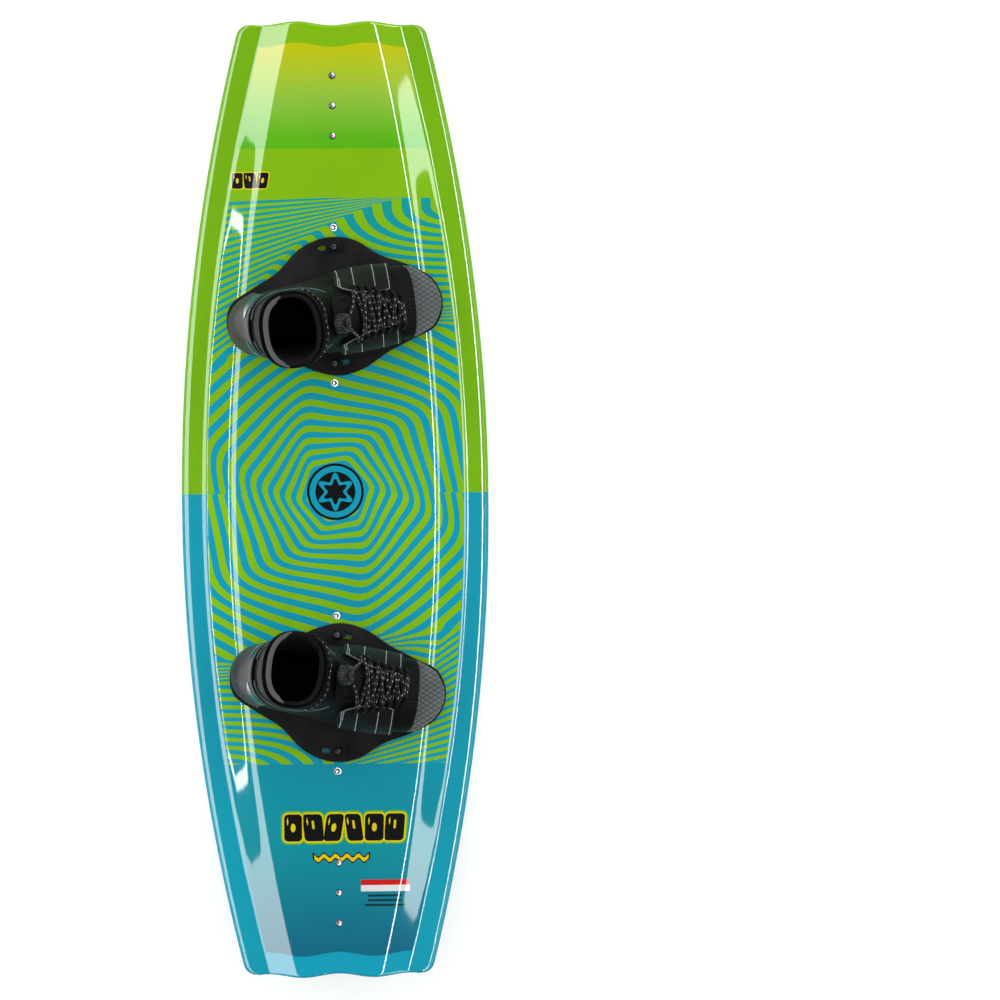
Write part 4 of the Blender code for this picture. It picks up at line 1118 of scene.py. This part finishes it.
def makeEva():
    # grey foam with grooves crossing in diamonds, the grooves darkened with painted shade
    material, put, shader = finishShader("evaFoam", roughness=0.7, Specular_IOR_Level=0.35)
    coords, (x, y, z) = placeOf(put)
    pitch = 0.0056
    grooves = []
    for slope in (0.62, -0.62):
        line = ((x * slope + y) / pitch * 0.85).math("FRACT")
        grooves.append((line - 0.5).size().ramp(0.38, 0.46))
    groove = grooves[0].math("MAXIMUM", grooves[1])
    grain, tone, _ = groupOuts(put, grainGroup, {0: coords, 1: 1500.0, 2: 40.0})
    colour = blendColour(put, tone, sRgb(104, 114, 114), sRgb(124, 133, 132))
    # painted shade in the grooves
    colour = blendColour(put, groove * 0.75, colour, sRgb(66, 74, 76))
    join(shader, Base_Color=colour, Roughness=tone * 0.1 + 0.62)
    bumpInto(put, shader, groove.flip() * 1.2 + grain * 0.14, 0.8, 0.0006)
    return material


finishes = {}


def makeFinishes():
    finishes["nylon"] = makePlastic("plateNylon", sRgb(34, 34, 36), sRgb(15, 15, 16), 0.48, 1300.0, 0.00022)
    finishes["steel"] = makeMetal("boltSteel", sRgb(64, 64, 68), sRgb(34, 34, 36), 0.3)
    finishes["eva"] = makeEva()
    finishes["neoprene"] = makeNeoprene()
    finishes["insole"] = makePlastic("insoleFoam", sRgb(24, 24, 25), sRgb(10, 10, 11), 0.8, 1300.0, 0.0003)
    finishes["lining"] = makeCloth("pileLining", sRgb(14, 14, 15), sRgb(4, 4, 5), 0.7, 170.0, 0.0003, 0.06)
    finishes["band"] = makeCloth("cuffTape", sRgb(112, 112, 112), sRgb(70, 70, 71), 0.7, 150.0,
                                 0.0002, 0.08, (3.0, 0.12))
    finishes["counter"] = makePlastic("counterRubber", sRgb(88, 86, 88), sRgb(64, 62, 64),
                                  0.5, 1500.0, 0.00018)
    finishes["teal"] = makePlastic("tealInlay", sRgb(12, 92, 106), sRgb(6, 62, 74), 0.3, 1500.0, 0.0001, 0.4)
    finishes["quarter"] = makeQuarter()
    finishes["tongue"] = makeCloth("tongueCloth", sRgb(20, 20, 21), sRgb(6, 6, 7), 0.65, 120.0, 0.0003, 0.06)
    finishes["thread"] = makeCloth("paleThread", sRgb(208, 212, 210), sRgb(150, 154, 152), 0.6, 60.0, 0.0001)
    finishes["piping"] = makeCloth("tealPiping", sRgb(96, 132, 134), sRgb(38, 66, 70),
                                  0.55, 90.0, 0.0001, 0.2)
    finishes["lace"] = makeLaceCord()
    finishes["loop"] = makeCloth("loopWebbing", sRgb(24, 24, 26), sRgb(8, 8, 9), 0.6, 60.0, 0.0002, 0.05)
    finishes["lock"] = makePlastic("lockShell", sRgb(44, 45, 48), sRgb(22, 22, 24),
                                  0.36, 1800.0, 0.00008, 0.2)
    finishes["dot"] = makePlastic("lockDots", sRgb(120, 124, 124), sRgb(84, 88, 88), 0.4, 1800.0, 0.00005)


# a spot inside the foot, from which faces are turned outwards
bootMiddle = Vector((-0.025, -0.012, 0.040))


def gather(whole, part):
    # moves a part's faces into the whole
    mesh = bpy.data.meshes.new("part")
    part.to_mesh(mesh)
    part.free()
    whole.from_mesh(mesh)
    bpy.data.meshes.remove(mesh)


def slotOutline(middle, swing, radius):
    reach, outline, steps = boot["boltReach"], [], 14
    end = middle + swing
    for k in range(steps + 1):
        a = middle + swing * k / steps
        outline.append(((reach + radius) * math.cos(a), (reach + radius) * math.sin(a)))
    for k in range(1, 9):
        a = end + math.copysign(math.pi * k / 9, swing)
        outline.append((reach * math.cos(end) + radius * math.cos(a),
                        reach * math.sin(end) + radius * math.sin(a)))
    for k in range(steps, -1, -1):
        a = middle + swing * k / steps
        outline.append(((reach - radius) * math.cos(a), (reach - radius) * math.sin(a)))
    for k in range(1, 9):
        a = middle + math.copysign(math.pi * (1 + k / 9), swing)
        outline.append((reach * math.cos(middle) + radius * math.cos(a),
                        reach * math.sin(middle) + radius * math.sin(a)))
    return outline


def buildPlate(end, foot, side):
    outline = [(u / 1000, side * v / 1000) for u, v in smoothLoop(plateOutline, 9)]
    bm = slab(outline, 0, boot["plate"], 0.0013, 4)
    bmesh.ops.transform(bm, matrix=foot, verts=bm.verts)
    plate = addPiece(end + "_plate_moulding", bm, finishes["nylon"], end + "_binding",
                     "plate_nylon", [end + "_plate"])
    cutters = []
    extra = math.radians(1.2)
    for halfTurn in (math.pi / 2, -math.pi / 2):
        start = side * (halfTurn - math.radians(boot["duck"]) - extra)
        swing = side * (math.radians(boot["swing"]) + 2 * extra)
        for radius, low in ((0.0034, -0.003), (0.0046, boot["plate"] - 0.0008)):
            cutter = slab(slotOutline(start, swing, radius), low, 0.010)
            bmesh.ops.transform(cutter, matrix=foot, verts=cutter.verts)
            cutters.append(looseObject(cutter))
    cutOut(plate, cutters)


def buildBolts(end, seat, side, lift):
    top = boot["plate"] + 0.0003
    for which, half, turn in (("outer", 1, 8.0), ("inner", -1, -22.0)):
        at = seat @ Matrix.Translation((0, side * half * boot["boltReach"], 0))
        bm = slab(((0.011, 0.0065), (-0.011, 0.0065), (-0.011, -0.0065), (0.011, -0.0065)), top, top + 0.0022)
        corners = [e for e in bm.edges if abs(e.verts[0].co.z - e.verts[1].co.z) > 0.001]
        bmesh.ops.bevel(bm, geom=corners, offset=0.0016, segments=4, profile=0.5, affect="EDGES", material=-1)
        rims = [e for e in bm.edges if min(v.co.z for v in e.verts) > top + 0.0021]
        bmesh.ops.bevel(bm, geom=rims, offset=0.0005, segments=2, profile=0.5, affect="EDGES", material=-1)
        for offset in (-0.0088, -0.0074, 0.0074, 0.0088):
            rib = slab([(offset + 0.0004 * a, 0.0048 * b) for a, b in ((1, 1), (-1, 1), (-1, -1), (1, -1))],
                       top + 0.0016, top + 0.0026, 0.0001, 1)
            gather(bm, rib)
        turned = at @ Matrix.Rotation(math.radians(side * turn), 4, "Z")
        bmesh.ops.transform(bm, matrix=turned, verts=bm.verts)
        washer = addPiece(f"{end}_{which}_washer_plate", bm, finishes["nylon"], "board", "plate_nylon",
                          [f"{end}_{which}_washer"])
        hole = spun(((0, 0.02), (0.0029, 0.02), (0.0029, 0), (0, 0)), 28)
        bmesh.ops.transform(hole, matrix=at, verts=hole.verts)
        cutOut(washer, [looseObject(hole)])
        head = top + 0.0022 + 0.0003
        bm = spun(((0, head + 0.0008), (0.0006, head + 0.0008), (0.0026, head + 0.0013), (0.0030, head + 0.0026),
                   (0.0040, head + 0.0025), (0.0050, head + 0.0019), (0.0054, head + 0.0010),
                   (0.0054, head + 0.0002), (0.0052, head), (0.0024, head), (0.0024, -lift - 0.0065), (0.0018, -lift - 0.0070),
                   (0, -lift - 0.0070)), 36)
        for vert in bm.verts:
            radius = math.hypot(vert.co.x, vert.co.y)
            if 0.0004 < radius < 0.0031 and vert.co.z > head + 0.0005:
                arm = 0.40 + 0.60 * abs(math.cos(2 * math.atan2(vert.co.y, vert.co.x))) ** 1.6
                vert.co.x, vert.co.y = vert.co.x * arm, vert.co.y * arm
        bmesh.ops.transform(bm, matrix=at, verts=bm.verts)
        addPiece(f"{end}_{which}_bolt_metal", bm, finishes["steel"], "board", "black_steel",
                 [f"{end}_{which}_bolt"])


def buildBootie(end, upper, side):
    def place(u, v):
        angle = 2 * math.pi * u
        at = mix(boot["from"], lastSection, v)
        # ridges round the back of the cuff, slow folds elsewhere, and seams pulled in
        back = smoothStep(1.7, 2.1, abs(math.remainder(angle, 2 * math.pi)))
        ridges = back * smoothStep(0.75, 1.0, at) * (1 - smoothStep(2.2, 2.5, at))
        out = 0.0009 * ridges * math.sin(at * 11.0) + 0.00035 * crease(at, angle)
        out -= 0.0009 * math.exp(-((at - 10.35) / 0.05) ** 2)
        out -= 0.0010 * smoothStep(lastSection - 0.12, lastSection, at)
        edge = smoothStep(0.0, 0.1, at - boot["from"])
        point = bootPoint(at, angle, out * edge - 0.0002)
        return Vector((point.x, point.y, max(point.z, 0.0003)))
    bm = merged(sheetGrid(120, 150, place), Vector((-0.020, -0.012, 0.060)))
    piece = addPiece(end + "_bootie_shell", placed(bm, side, upper), finishes["neoprene"], end + "_binding",
                     "neoprene", [end + "_bootie"], 60)
    wall(piece, boot["wall"] - 0.0004, -1, 0.0014)


def buildLiner(end, upper, side):
    def place(u, v):
        angle, at = 2 * math.pi * u, mix(0.10, 4.55, v)
        depth = boot["lining"] + 0.0002 + 0.0002 * crease(at, angle, 2.0)
        return bootPoint(at, angle, -depth)
    middle = Vector((-0.045, -0.020, 0.110))
    bm = sheetGrid(110, 70, place)
    bmesh.ops.remove_doubles(bm, verts=bm.verts, dist=0.000004)
    turnOut(bm, lambda face: Vector((face.calc_center_median() - middle).xy.to_3d()))
    piece = addPiece(end + "_liner_sleeve", placed(bm, side, upper), finishes["lining"], end + "_binding",
                     "lining", [end + "_liner"], 60)
    wall(piece, 0.0036, -1, 0.0015)


def buildCuffBand(end, upper, side):
    half = math.radians(80)

    def place(u, v):
        angle = math.pi + mix(-half, half, u)
        taper = smoothStep(0.0, 0.12, min(u, 1 - u))
        rim = bootPoint(0.08, angle, -mix(0.0056, mix(0.0075, 0.0112, taper), v))
        return rim + Vector((0, 0, mix(0.0060, 0.0040, v)))
    bm = sheetGrid(90, 8, place)
    turnOut(bm, lambda face: Vector((0, 0, 1)))
    piece = addPiece(end + "_cuff_tape", placed(bm, side, upper), finishes["band"], end + "_binding",
                     "band_grey", [end + "_cuff_band"], 60)
    wall(piece, 0.0018, -1, 0.0006)


def buildCounter(end, upper, side):
    def shape(a, at, out):
        return bootPoint(at, math.pi + a, out)

    def place(u, v):
        a = mix(-1.1, 1.1, u)
        low = 5.05 - 0.20 * abs(a / 1.1) ** 3
        at = mix(2.6 + 0.30 * abs(a / 1.1) ** 2.2, low, v)
        lip = math.exp(-((v - 0.04) / 0.05) ** 2) + math.exp(-((v - 0.955) / 0.05) ** 2)
        return shape(a, at, 0.0016 + 0.0007 * lip)
    middle = bootMiddle
    bm = merged(sheetGrid(80, 44, place), middle)
    piece = addPiece(end + "_counter_shell", placed(bm, side, upper), finishes["counter"], end + "_binding",
                     "counter_grey", [end + "_heel_counter"], 60)
    wall(piece, 0.0018, 1, 0.0007)

    # two teal inlays, one on each side of the heel, each a wedge that points round the back
    whole = bmesh.new()
    for hand in (1, -1):
        def inlay(u, v, hand=hand):
            a = hand * mix(0.26, 1.04, u)
            middleAt = mix(3.02, 3.38, u)
            reach = 0.03 + 0.40 * u ** 0.8 * min(1.0, (1 - u) * 9 + 0.35)
            return shape(a, middleAt + mix(-0.8 * reach, 1.2 * reach, v), 0.0035)
        part = merged(sheetGrid(24, 16, inlay), middle)
        gather(whole, part)
    inlays = addPiece(end + "_counter_inlays", placed(whole, side, upper), finishes["teal"], end + "_binding",
                      "counter_grey")
    wall(inlays, 0.0009, 1, 0.0004)

    # piping along the ankle line
    for hand, name in ((1, "outer"), (-1, "inner")):
        path = []
        for k in range(15):
            share = k / 14
            angle = hand * mix(math.pi - 0.25, 0.80, share)
            at = valueAt(((0, 2.42), (0.35, 2.62), (0.7, 3.1), (1, 3.3)), share)
            path.append(bootPoint(at, angle, 0.0010))
        bm = tubeAlong(resample(path, 0.0016), 0.0010, 8)
        addPiece(f"{end}_{name}_piping", placed(bm, side, upper), finishes["piping"],
                 end + "_binding", "quarter_black")


def tongueShape():
    # the padded tongue in the boot's own frame: a closed pad with sewn channels
    def surface(u, v, out):
        along = mix(-5.5, 89.5, v)
        outer = valueAt(tongueEdge["outer"], along) - 0.5
        inner = valueAt(tongueEdge["inner"], along) + 0.5
        return onBoot(along, mix(inner, outer, u), out)

    columns, rows = 26, 76

    def place(u, v):
        edge = min(u, 1 - u) * 2
        crown = min(1.0, edge * 3.2) ** 0.5 * min(1.0, min(v, 1 - v) * 14) ** 0.5
        channel = 1 - 0.55 * math.exp(-(((v * 7) % 1.0 - 0.5) / 0.09) ** 2)
        return surface(u, v, 0.0019 + 0.0030 * crown * channel)
    top = sheetGrid(columns, rows, place)
    turnOut(top, lambda face: face.calc_center_median() - bootMiddle)
    made = bmesh.ops.duplicate(top, geom=list(top.verts) + list(top.edges) + list(top.faces))
    under = {v for v in made["geom"] if isinstance(v, bmesh.types.BMVert)}
    flat = [f for f in made["geom"] if isinstance(f, bmesh.types.BMFace)]
    top.normal_update()
    for vert in under:
        vert.co = vert.co - vert.normal * 0.0001
    bmesh.ops.reverse_faces(top, faces=flat)
    order = [v for v in top.verts if v in under]
    lookup = sheetGrid(columns, rows, lambda u, v: surface(u, v, 0.0017))
    for vert, source in zip(order, lookup.verts):
        vert.co = source.co
    lookup.free()
    borders = [edge for edge in top.edges if edge.is_boundary]
    bmesh.ops.bridge_loops(top, edges=borders)
    bmesh.ops.recalc_face_normals(top, faces=top.faces)
    return top


def puffed(bm, name, pressure, cap, frames=18, voxel=0.0016):
    # blows a closed pad up a little as cloth, keeps each point within the cap, and gives back its mesh
    mesh = bpy.data.meshes.new(name)
    bm.to_mesh(mesh)
    bm.free()
    pad = bpy.data.objects.new(name, mesh)
    scene.collection.objects.link(pad)
    remesh = pad.modifiers.new("even", "REMESH")
    remesh.mode = "VOXEL"
    remesh.voxel_size = voxel
    graph = bpy.context.evaluated_depsgraph_get()
    pad.data = bpy.data.meshes.new_from_object(pad.evaluated_get(graph), depsgraph=graph)
    pad.modifiers.clear()
    before = [vert.co.copy() for vert in pad.data.vertices]
    cloth = pad.modifiers.new("cloth", "CLOTH")
    cloth.settings.effector_weights.gravity = 0.0
    cloth.settings.use_pressure = True
    cloth.settings.uniform_pressure_force = pressure
    cloth.settings.quality = 6
    cloth.settings.tension_stiffness = 20
    cloth.settings.compression_stiffness = 20
    cloth.settings.bending_stiffness = 0.4
    cloth.point_cache.frame_start = 1
    cloth.point_cache.frame_end = frames
    for step in range(1, frames + 1):
        scene.frame_set(step)
    graph = bpy.context.evaluated_depsgraph_get()
    blown = pad.evaluated_get(graph).to_mesh()
    moved = [vert.co.copy() for vert in blown.vertices]
    pad.evaluated_get(graph).to_mesh_clear()
    pad.modifiers.clear()
    scene.frame_set(1)
    for vert, old, new in zip(pad.data.vertices, before, moved):
        step = new - old
        if step.length > cap:
            step = step * (cap / step.length)
        vert.co = old + step
    done = bmesh.new()
    done.from_mesh(pad.data)
    bpy.data.objects.remove(pad)
    bmesh.ops.smooth_vert(done, verts=done.verts, factor=0.35, use_axis_x=True,
                          use_axis_y=True, use_axis_z=True)
    return done


def mapOnBoot(bm, scale):
    # a flat map over the plan, so that a weave runs along and across the foot
    layer = bm.loops.layers.uv.get("uv") or bm.loops.layers.uv.new("uv")
    for face in bm.faces:
        for loop in face.loops:
            loop[layer].uv = (loop.vert.co.y * scale, loop.vert.co.x * scale)


def panelSpots(which):
    # how a quarter panel's two map directions lie on the boot
    edge = throat[which]
    first, last, sign = {"outer": (4, 76, 1), "inner": (2, 80, -1)}[which]

    def spot(u, v, out):
        along = mix(first, last, v)
        start = angleOver(along, valueAt(edge, along))
        angle = mix(start, sign * math.radians(98), u)
        return bootPoint(sectionOver(along, angle), angle, out)
    return spot


seams = {"across": (0.34, 0.70), "edge": 0.035, "top": 0.05, "low": 0.80}


def buildQuarters(end, upper, side):
    middle = bootMiddle
    threads = bmesh.new()
    for which in ("outer", "inner"):
        spot = panelSpots(which)

        def place(u, v, spot=spot):
            # three puffed fields between sewn seams
            seam = max(math.exp(-((v - at) / 0.014) ** 2) for at in seams["across"])
            border = max(math.exp(-((u - seams["edge"]) / 0.020) ** 2),
                         math.exp(-((v - seams["top"]) / 0.014) ** 2),
                         math.exp(-((v - 1 + seams["top"]) / 0.014) ** 2))
            inner = min(1.0, min(u / 0.12, v / 0.10, (1 - v) / 0.10))
            return spot(u, v, 0.0016 + 0.0008 * max(0.0, inner) - 0.0006 * max(seam, border))
        bm = merged(sheetGrid(44, 66, place), middle)
        panel = addPiece(f"{end}_{which}_quarter_panel", placed(bm, side, upper), finishes["quarter"],
                         end + "_binding", "quarter_black", [f"{end}_{which}_quarter"], 60)
        wall(panel, 0.0013, 1, 0.0005)
        out = 0.0036
        edgeU, topV, lowU = seams["edge"], seams["top"], seams["low"]
        runs = [[spot(edgeU, mix(topV, 1 - topV, k / 20), out) for k in range(21)],
                [spot(mix(edgeU, lowU, k / 10), topV + 0.02 * math.sin(math.pi * k / 10), out)
                 for k in range(11)],
                [spot(mix(edgeU, lowU, k / 10), 1 - topV, out) for k in range(11)]]
        for at in seams["across"]:
            runs.append([spot(mix(edgeU, lowU, k / 10), at, out) for k in range(11)])
        runs.append([spot(mix(edgeU + 0.03, 0.36, k / 8), topV + 0.045, out) for k in range(9)])
        for path in runs:
            stitchRun(threads, path, 0.0027, 0.0005, 0.00062)
    addPiece(end + "_panel_stitches", placed(threads, side, upper), finishes["thread"], end + "_binding",
             "quarter_black", (), 80)
    buildLoops(end, upper, side)

    # a flecked cord sewn across the front of the cuff
    path = [bootPoint(0.95 + 0.35 * abs(k / 8 - 1), mix(1.25, -1.20, k / 16), 0.0012) for k in range(17)]
    bm = tubeAlong(resample(path, 0.0012), 0.0015, 10)
    addPiece(end + "_cuff_cord", placed(bm, side, upper), finishes["lace"], end + "_binding",
             "lace_black", (), 80)


def buildLoops(end, upper, side):
    # webbing loops that hold the lace along both throat edges
    whole = bmesh.new()
    rest = 0.0015 + 0.004 + lace["radius"] + lace["lift"]
    for along, outer, inner in laceRows:
        for v0, hand in ((outer, 1), (inner, -1)):
            angle = angleOver(along, v0)
            at = sectionOver(along, angle)
            up = bootNormal(at, angle)
            centre = bootPoint(at, angle, rest)
            run = (onBoot(along + 2, v0, rest) - onBoot(along - 2, v0, rest)).normalized()
            outwards = up.cross(run).normalized()
            if outwards.y * hand < 0:
                outwards = -outwards
            radius = lace["radius"] + 0.0009
            profile = []
            beyond = hand * (v0 + hand * 8 - valueAt(throat["outer" if hand > 0 else "inner"], along))
            stands = 0.0039 if beyond > 2 else 0.0058
            foot = Vector((0.0105, -rest + stands))
            for k in range(7):
                profile.append((mix(foot.x, 0.0, k / 7), mix(foot.y, radius, smoothStep(0, 1, k / 7))))
            for k in range(9):
                turn = math.pi / 2 + math.pi * k / 8
                profile.append((radius * math.cos(turn), radius * math.sin(turn)))
            profile.append((0.0035, -radius - 0.0001))
            profile.append((0.0065, -rest + stands + 0.0008))
            line = resample([Vector((a, b, 0)) for a, b in profile], 0.0007)

            def place(u, v, line=line, centre=centre, outwards=outwards, up=up, run=run):
                spot = line[min(len(line) - 1, round(v * (len(line) - 1)))]
                return centre + outwards * spot.x + up * spot.y + run * (u - 0.5) * 0.0046
            part = sheetGrid(3, len(line) - 1, place)
            bmesh.ops.recalc_face_normals(part, faces=part.faces)
            gather(whole, part)
    loops = addPiece(end + "_lace_loops", placed(whole, side, upper), finishes["loop"], end + "_binding",
                     "quarter_black", (), 60)
    wall(loops, 0.0007, 0)


def lockPlace():
    # it lies along the chord from the shin to the instep, clear of the tongue
    out = 0.0015 + 0.004 + lock["clear"]
    u, v = lock["at"]
    back, fore = onBoot(u - 13, v, out), onBoot(u + 16, v, out)
    toe = (fore - back).normalized()
    angle = angleOver(u, v)
    normal = bootNormal(sectionOver(u, angle), angle)
    normal = (normal - toe * normal.dot(toe)).normalized()
    axes = Matrix((toe, normal.cross(toe), normal)).transposed().to_4x4()
    return Matrix.Translation((back + fore) / 2) @ axes


def laceRoute():
    low = 0.0015 + 0.004 + lace["radius"] + lace["lift"]
    high = low + 2 * lace["radius"] + 0.0008
    rows = [(onBoot(along, outer, low), onBoot(along, inner, low), along, outer, inner)
            for along, outer, inner in laceRows]
    down, up = [], []
    last = len(rows) - 1
    for k in range(last, 0, -1):
        a, b = rows[k], rows[k - 1]
        firstOuter = (last - k) % 2 == 0
        for strand, startOuter, height in ((down, firstOuter, low), (up, not firstOuter, high)):
            v0 = a[3] if startOuter else a[4]
            v1 = b[4] if startOuter else b[3]
            for share in (0.0, 0.3, 0.5, 0.7):
                lift = mix(low, height, smoothStep(0.0, 0.3, min(share, 1 - share)))
                strand.append(onBoot(mix(a[2], b[2], share), mix(v0, v1, share), lift))
    ends_ = [rows[0][0], rows[0][1]] if last % 2 == 0 else [rows[0][1], rows[0][0]]
    place, holes = lockPlace(), []
    for hand in (1, -1):
        spot = (hand * 0.48 * lock["radius"], lace["radius"] + 0.0012)
        holes.append([place @ Vector((x, *spot)) for x in
                      (lock["end"], 0.5 * lock["radius"], lock["radius"], 0.0160, 0.0180, 0.0187)])
    bend = ends_[0].lerp(ends_[1], 0.5) + Vector((0.0006, 0, 0.0015))
    fan = [onBoot(20, v, low + 0.0014) for v in (-4, -36)]
    return [*holes[0], fan[0], *down, ends_[0], bend, ends_[1], *reversed(up), fan[1], *reversed(holes[1])]


def buildLace(end, upper, side):
    path = resample(laceRoute(), lace["step"])
    bm = tubeAlong(path, lace["radius"] * 0.985, lace["sides"])
    piece = addPiece(end + "_lace_cord", placed(bm, side, upper), finishes["lace"], end + "_binding",
                     "lace_black", [end + "_lace"], 80)
    return piece


def buildLock(end, upper, side):
    radius, tall = lock["radius"], lock["tall"]
    bore = lock["button"] + 0.0003
    deep = tall - lock["travel"] - 0.0032
    bm = spun(((0, 0), (radius - 0.0016, 0), (radius - 0.0004, 0.0004), (radius, 0.0014), (radius, 0.0036),
               (radius - 0.0007, 0.0040), (radius - 0.0007, 0.0086), (radius, 0.0090), (radius, tall - 0.0020),
               (radius - 0.0005, tall - 0.0009), (radius - 0.0016, tall - 0.0001), (radius - 0.0030, tall),
               (bore + 0.0016, tall - 0.0004), (bore + 0.0006, tall - 0.0004), (bore, tall - 0.0008),
               (bore, deep), (0, deep)), 96)
    # grip ribs round the waist
    for vert in bm.verts:
        reach = math.hypot(vert.co.x, vert.co.y)
        if abs(reach - (radius - 0.0007)) < 0.00005 and 0.003 < vert.co.z < 0.009:
            turn = math.atan2(vert.co.y, vert.co.x)
            grow = 1 + 0.045 * max(0.0, math.sin(turn * 24)) ** 0.5
            vert.co.x, vert.co.y = vert.co.x * grow, vert.co.y * grow
    place = lockPlace()
    bmesh.ops.transform(bm, matrix=place, verts=bm.verts)
    body = addPiece(end + "_lock_shell", placed(bm, side, upper), finishes["lock"], end + "_lock",
                    "lock_plastic", [end + "_lace_lock"], 32)
    drills = []
    for hand in (1, -1):
        inner = lock["end"] - lock["slide"] - 0.0003
        hole = spun(((0, inner), (lace["radius"] + 0.0006, inner),
                     (lace["radius"] + 0.0006, 0.026), (0, 0.026)), 20)
        spot = Matrix.Translation((0, hand * 0.48 * radius, lace["radius"] + 0.0012))
        spot = spot @ Matrix.Rotation(math.pi / 2, 4, "Y")
        bmesh.ops.transform(hole, matrix=place @ spot, verts=hole.verts)
        drills.append(looseObject(placed(hole, side, upper)))
    cutOut(body, drills, 32)

    dots = bmesh.new()
    for k in range(6):
        turn = 2 * math.pi * (k + 0.5) / 6
        made = bmesh.ops.create_uvsphere(dots, u_segments=12, v_segments=8, radius=0.0009)
        bmesh.ops.transform(dots, verts=made["verts"], matrix=Matrix.Translation(
            (0.0098 * math.cos(turn), 0.0098 * math.sin(turn), tall - 0.0001)) @ Matrix.Diagonal((1, 1, 0.45, 1)))
    bmesh.ops.transform(dots, matrix=place, verts=dots.verts)
    addPiece(end + "_lock_dots", placed(dots, side, upper), finishes["dot"], end + "_lock",
             "lock_plastic", (), 60)

    low, high, reach = deep + lock["travel"] + 0.0003, tall + lock["proud"], lock["button"]
    bm = spun(((0, low), (reach - 0.0006, low), (reach, low + 0.0006), (reach, high - 0.0012),
               (reach - 0.0004, high - 0.0005),
               (reach - 0.0014, high - 0.00005), (reach - 0.0020, high), (reach - 0.0024, high - 0.0004),
               (reach - 0.0028, high - 0.0004), (reach - 0.0032, high - 0.0001), (0.0012, high - 0.0002),
               (0.0008, high - 0.0006), (0, high - 0.0006)), 48)
    bmesh.ops.transform(bm, matrix=place, verts=bm.verts)
    addPiece(end + "_lock_press_button", placed(bm, side, upper), finishes["lock"], end + "_lock_press",
             "lock_plastic", [end + "_lock_button"], 32)


def buildFootbed(end, upper, side):
    inside = ((-113, -13), (-104, 5), (-60, 14), (20, 20), (98, 22), (104, -10), (98, -39), (20, -40),
              (-60, -39), (-104, -30))
    low = 0.0046
    bm = slab([(u / 1000, v / 1000) for u, v in smoothLoop(inside, 8)], low, 0.0104, 0.0012, 3)
    toe = ((96, 40), (104, 38.5), (119, 28.5), (131, 16.5), (138, 2), (140, -13), (136, -27), (126, -42),
           (113, -49.5), (102, -53.5), (96, -54))
    rows = toe[:1] + tuple(rowAt(toe, 1 + k / 6) for k in range(54)) + toe[-1:]
    outline = [(u / 1000, v / 1000) for u, v in rows]
    for face in bm.faces:
        face.material_index = 1
    pad = slab(outline, 0.0003, 0.0110, 0.0016, 4)
    gather(bm, pad)
    bmesh.ops.recalc_face_normals(bm, faces=bm.faces)
    bed = addPiece(end + "_footbed_foam", placed(bm, side, upper), finishes["eva"], end + "_binding", "eva_grey",
                   [end + "_footbed"], 40)
    bed.data.materials.append(finishes["insole"])


def buildBindings():
    makeFinishes()
    pad = puffed(tongueShape(), "tongue", 4.0, 0.0011)
    mapOnBoot(pad, 1.0)
    for end, side in ends:
        joint = next(joint for joint in frame["joints"] if joint["name"] == end + "_stance")
        pose = jointPlace(joint)
        lift = 0.0003
        foot = pose @ Matrix.Rotation(math.radians(side * boot["duck"]), 4, "Z")
        upper = foot @ Matrix.Translation((0, 0, boot["plate"]))
        buildPlate(end, foot, side)
        buildBolts(end, pose, side, lift)
        buildFootbed(end, upper, side)
        buildBootie(end, upper, side)
        buildLiner(end, upper, side)
        buildCuffBand(end, upper, side)
        buildCounter(end, upper, side)
        tongue = addPiece(end + "_tongue_pad", placed(pad.copy(), side, upper), finishes["tongue"],
                          end + "_binding", "quarter_black", [end + "_tongue"], 70)
        buildQuarters(end, upper, side)
        buildLace(end, upper, side)
        buildLock(end, upper, side)
        print(end, "binding ready")
    pad.free()


def jointPlace(joint):
    # the frame a binding swivels in: at the joint, square to its plate
    axis = Vector(joint["axis"]).normalized()
    tilt = math.atan2(-axis.y, axis.z)
    return Matrix.Translation(joint["pos_m"]) @ Matrix.Rotation(tilt, 4, "X")


buildBindings()
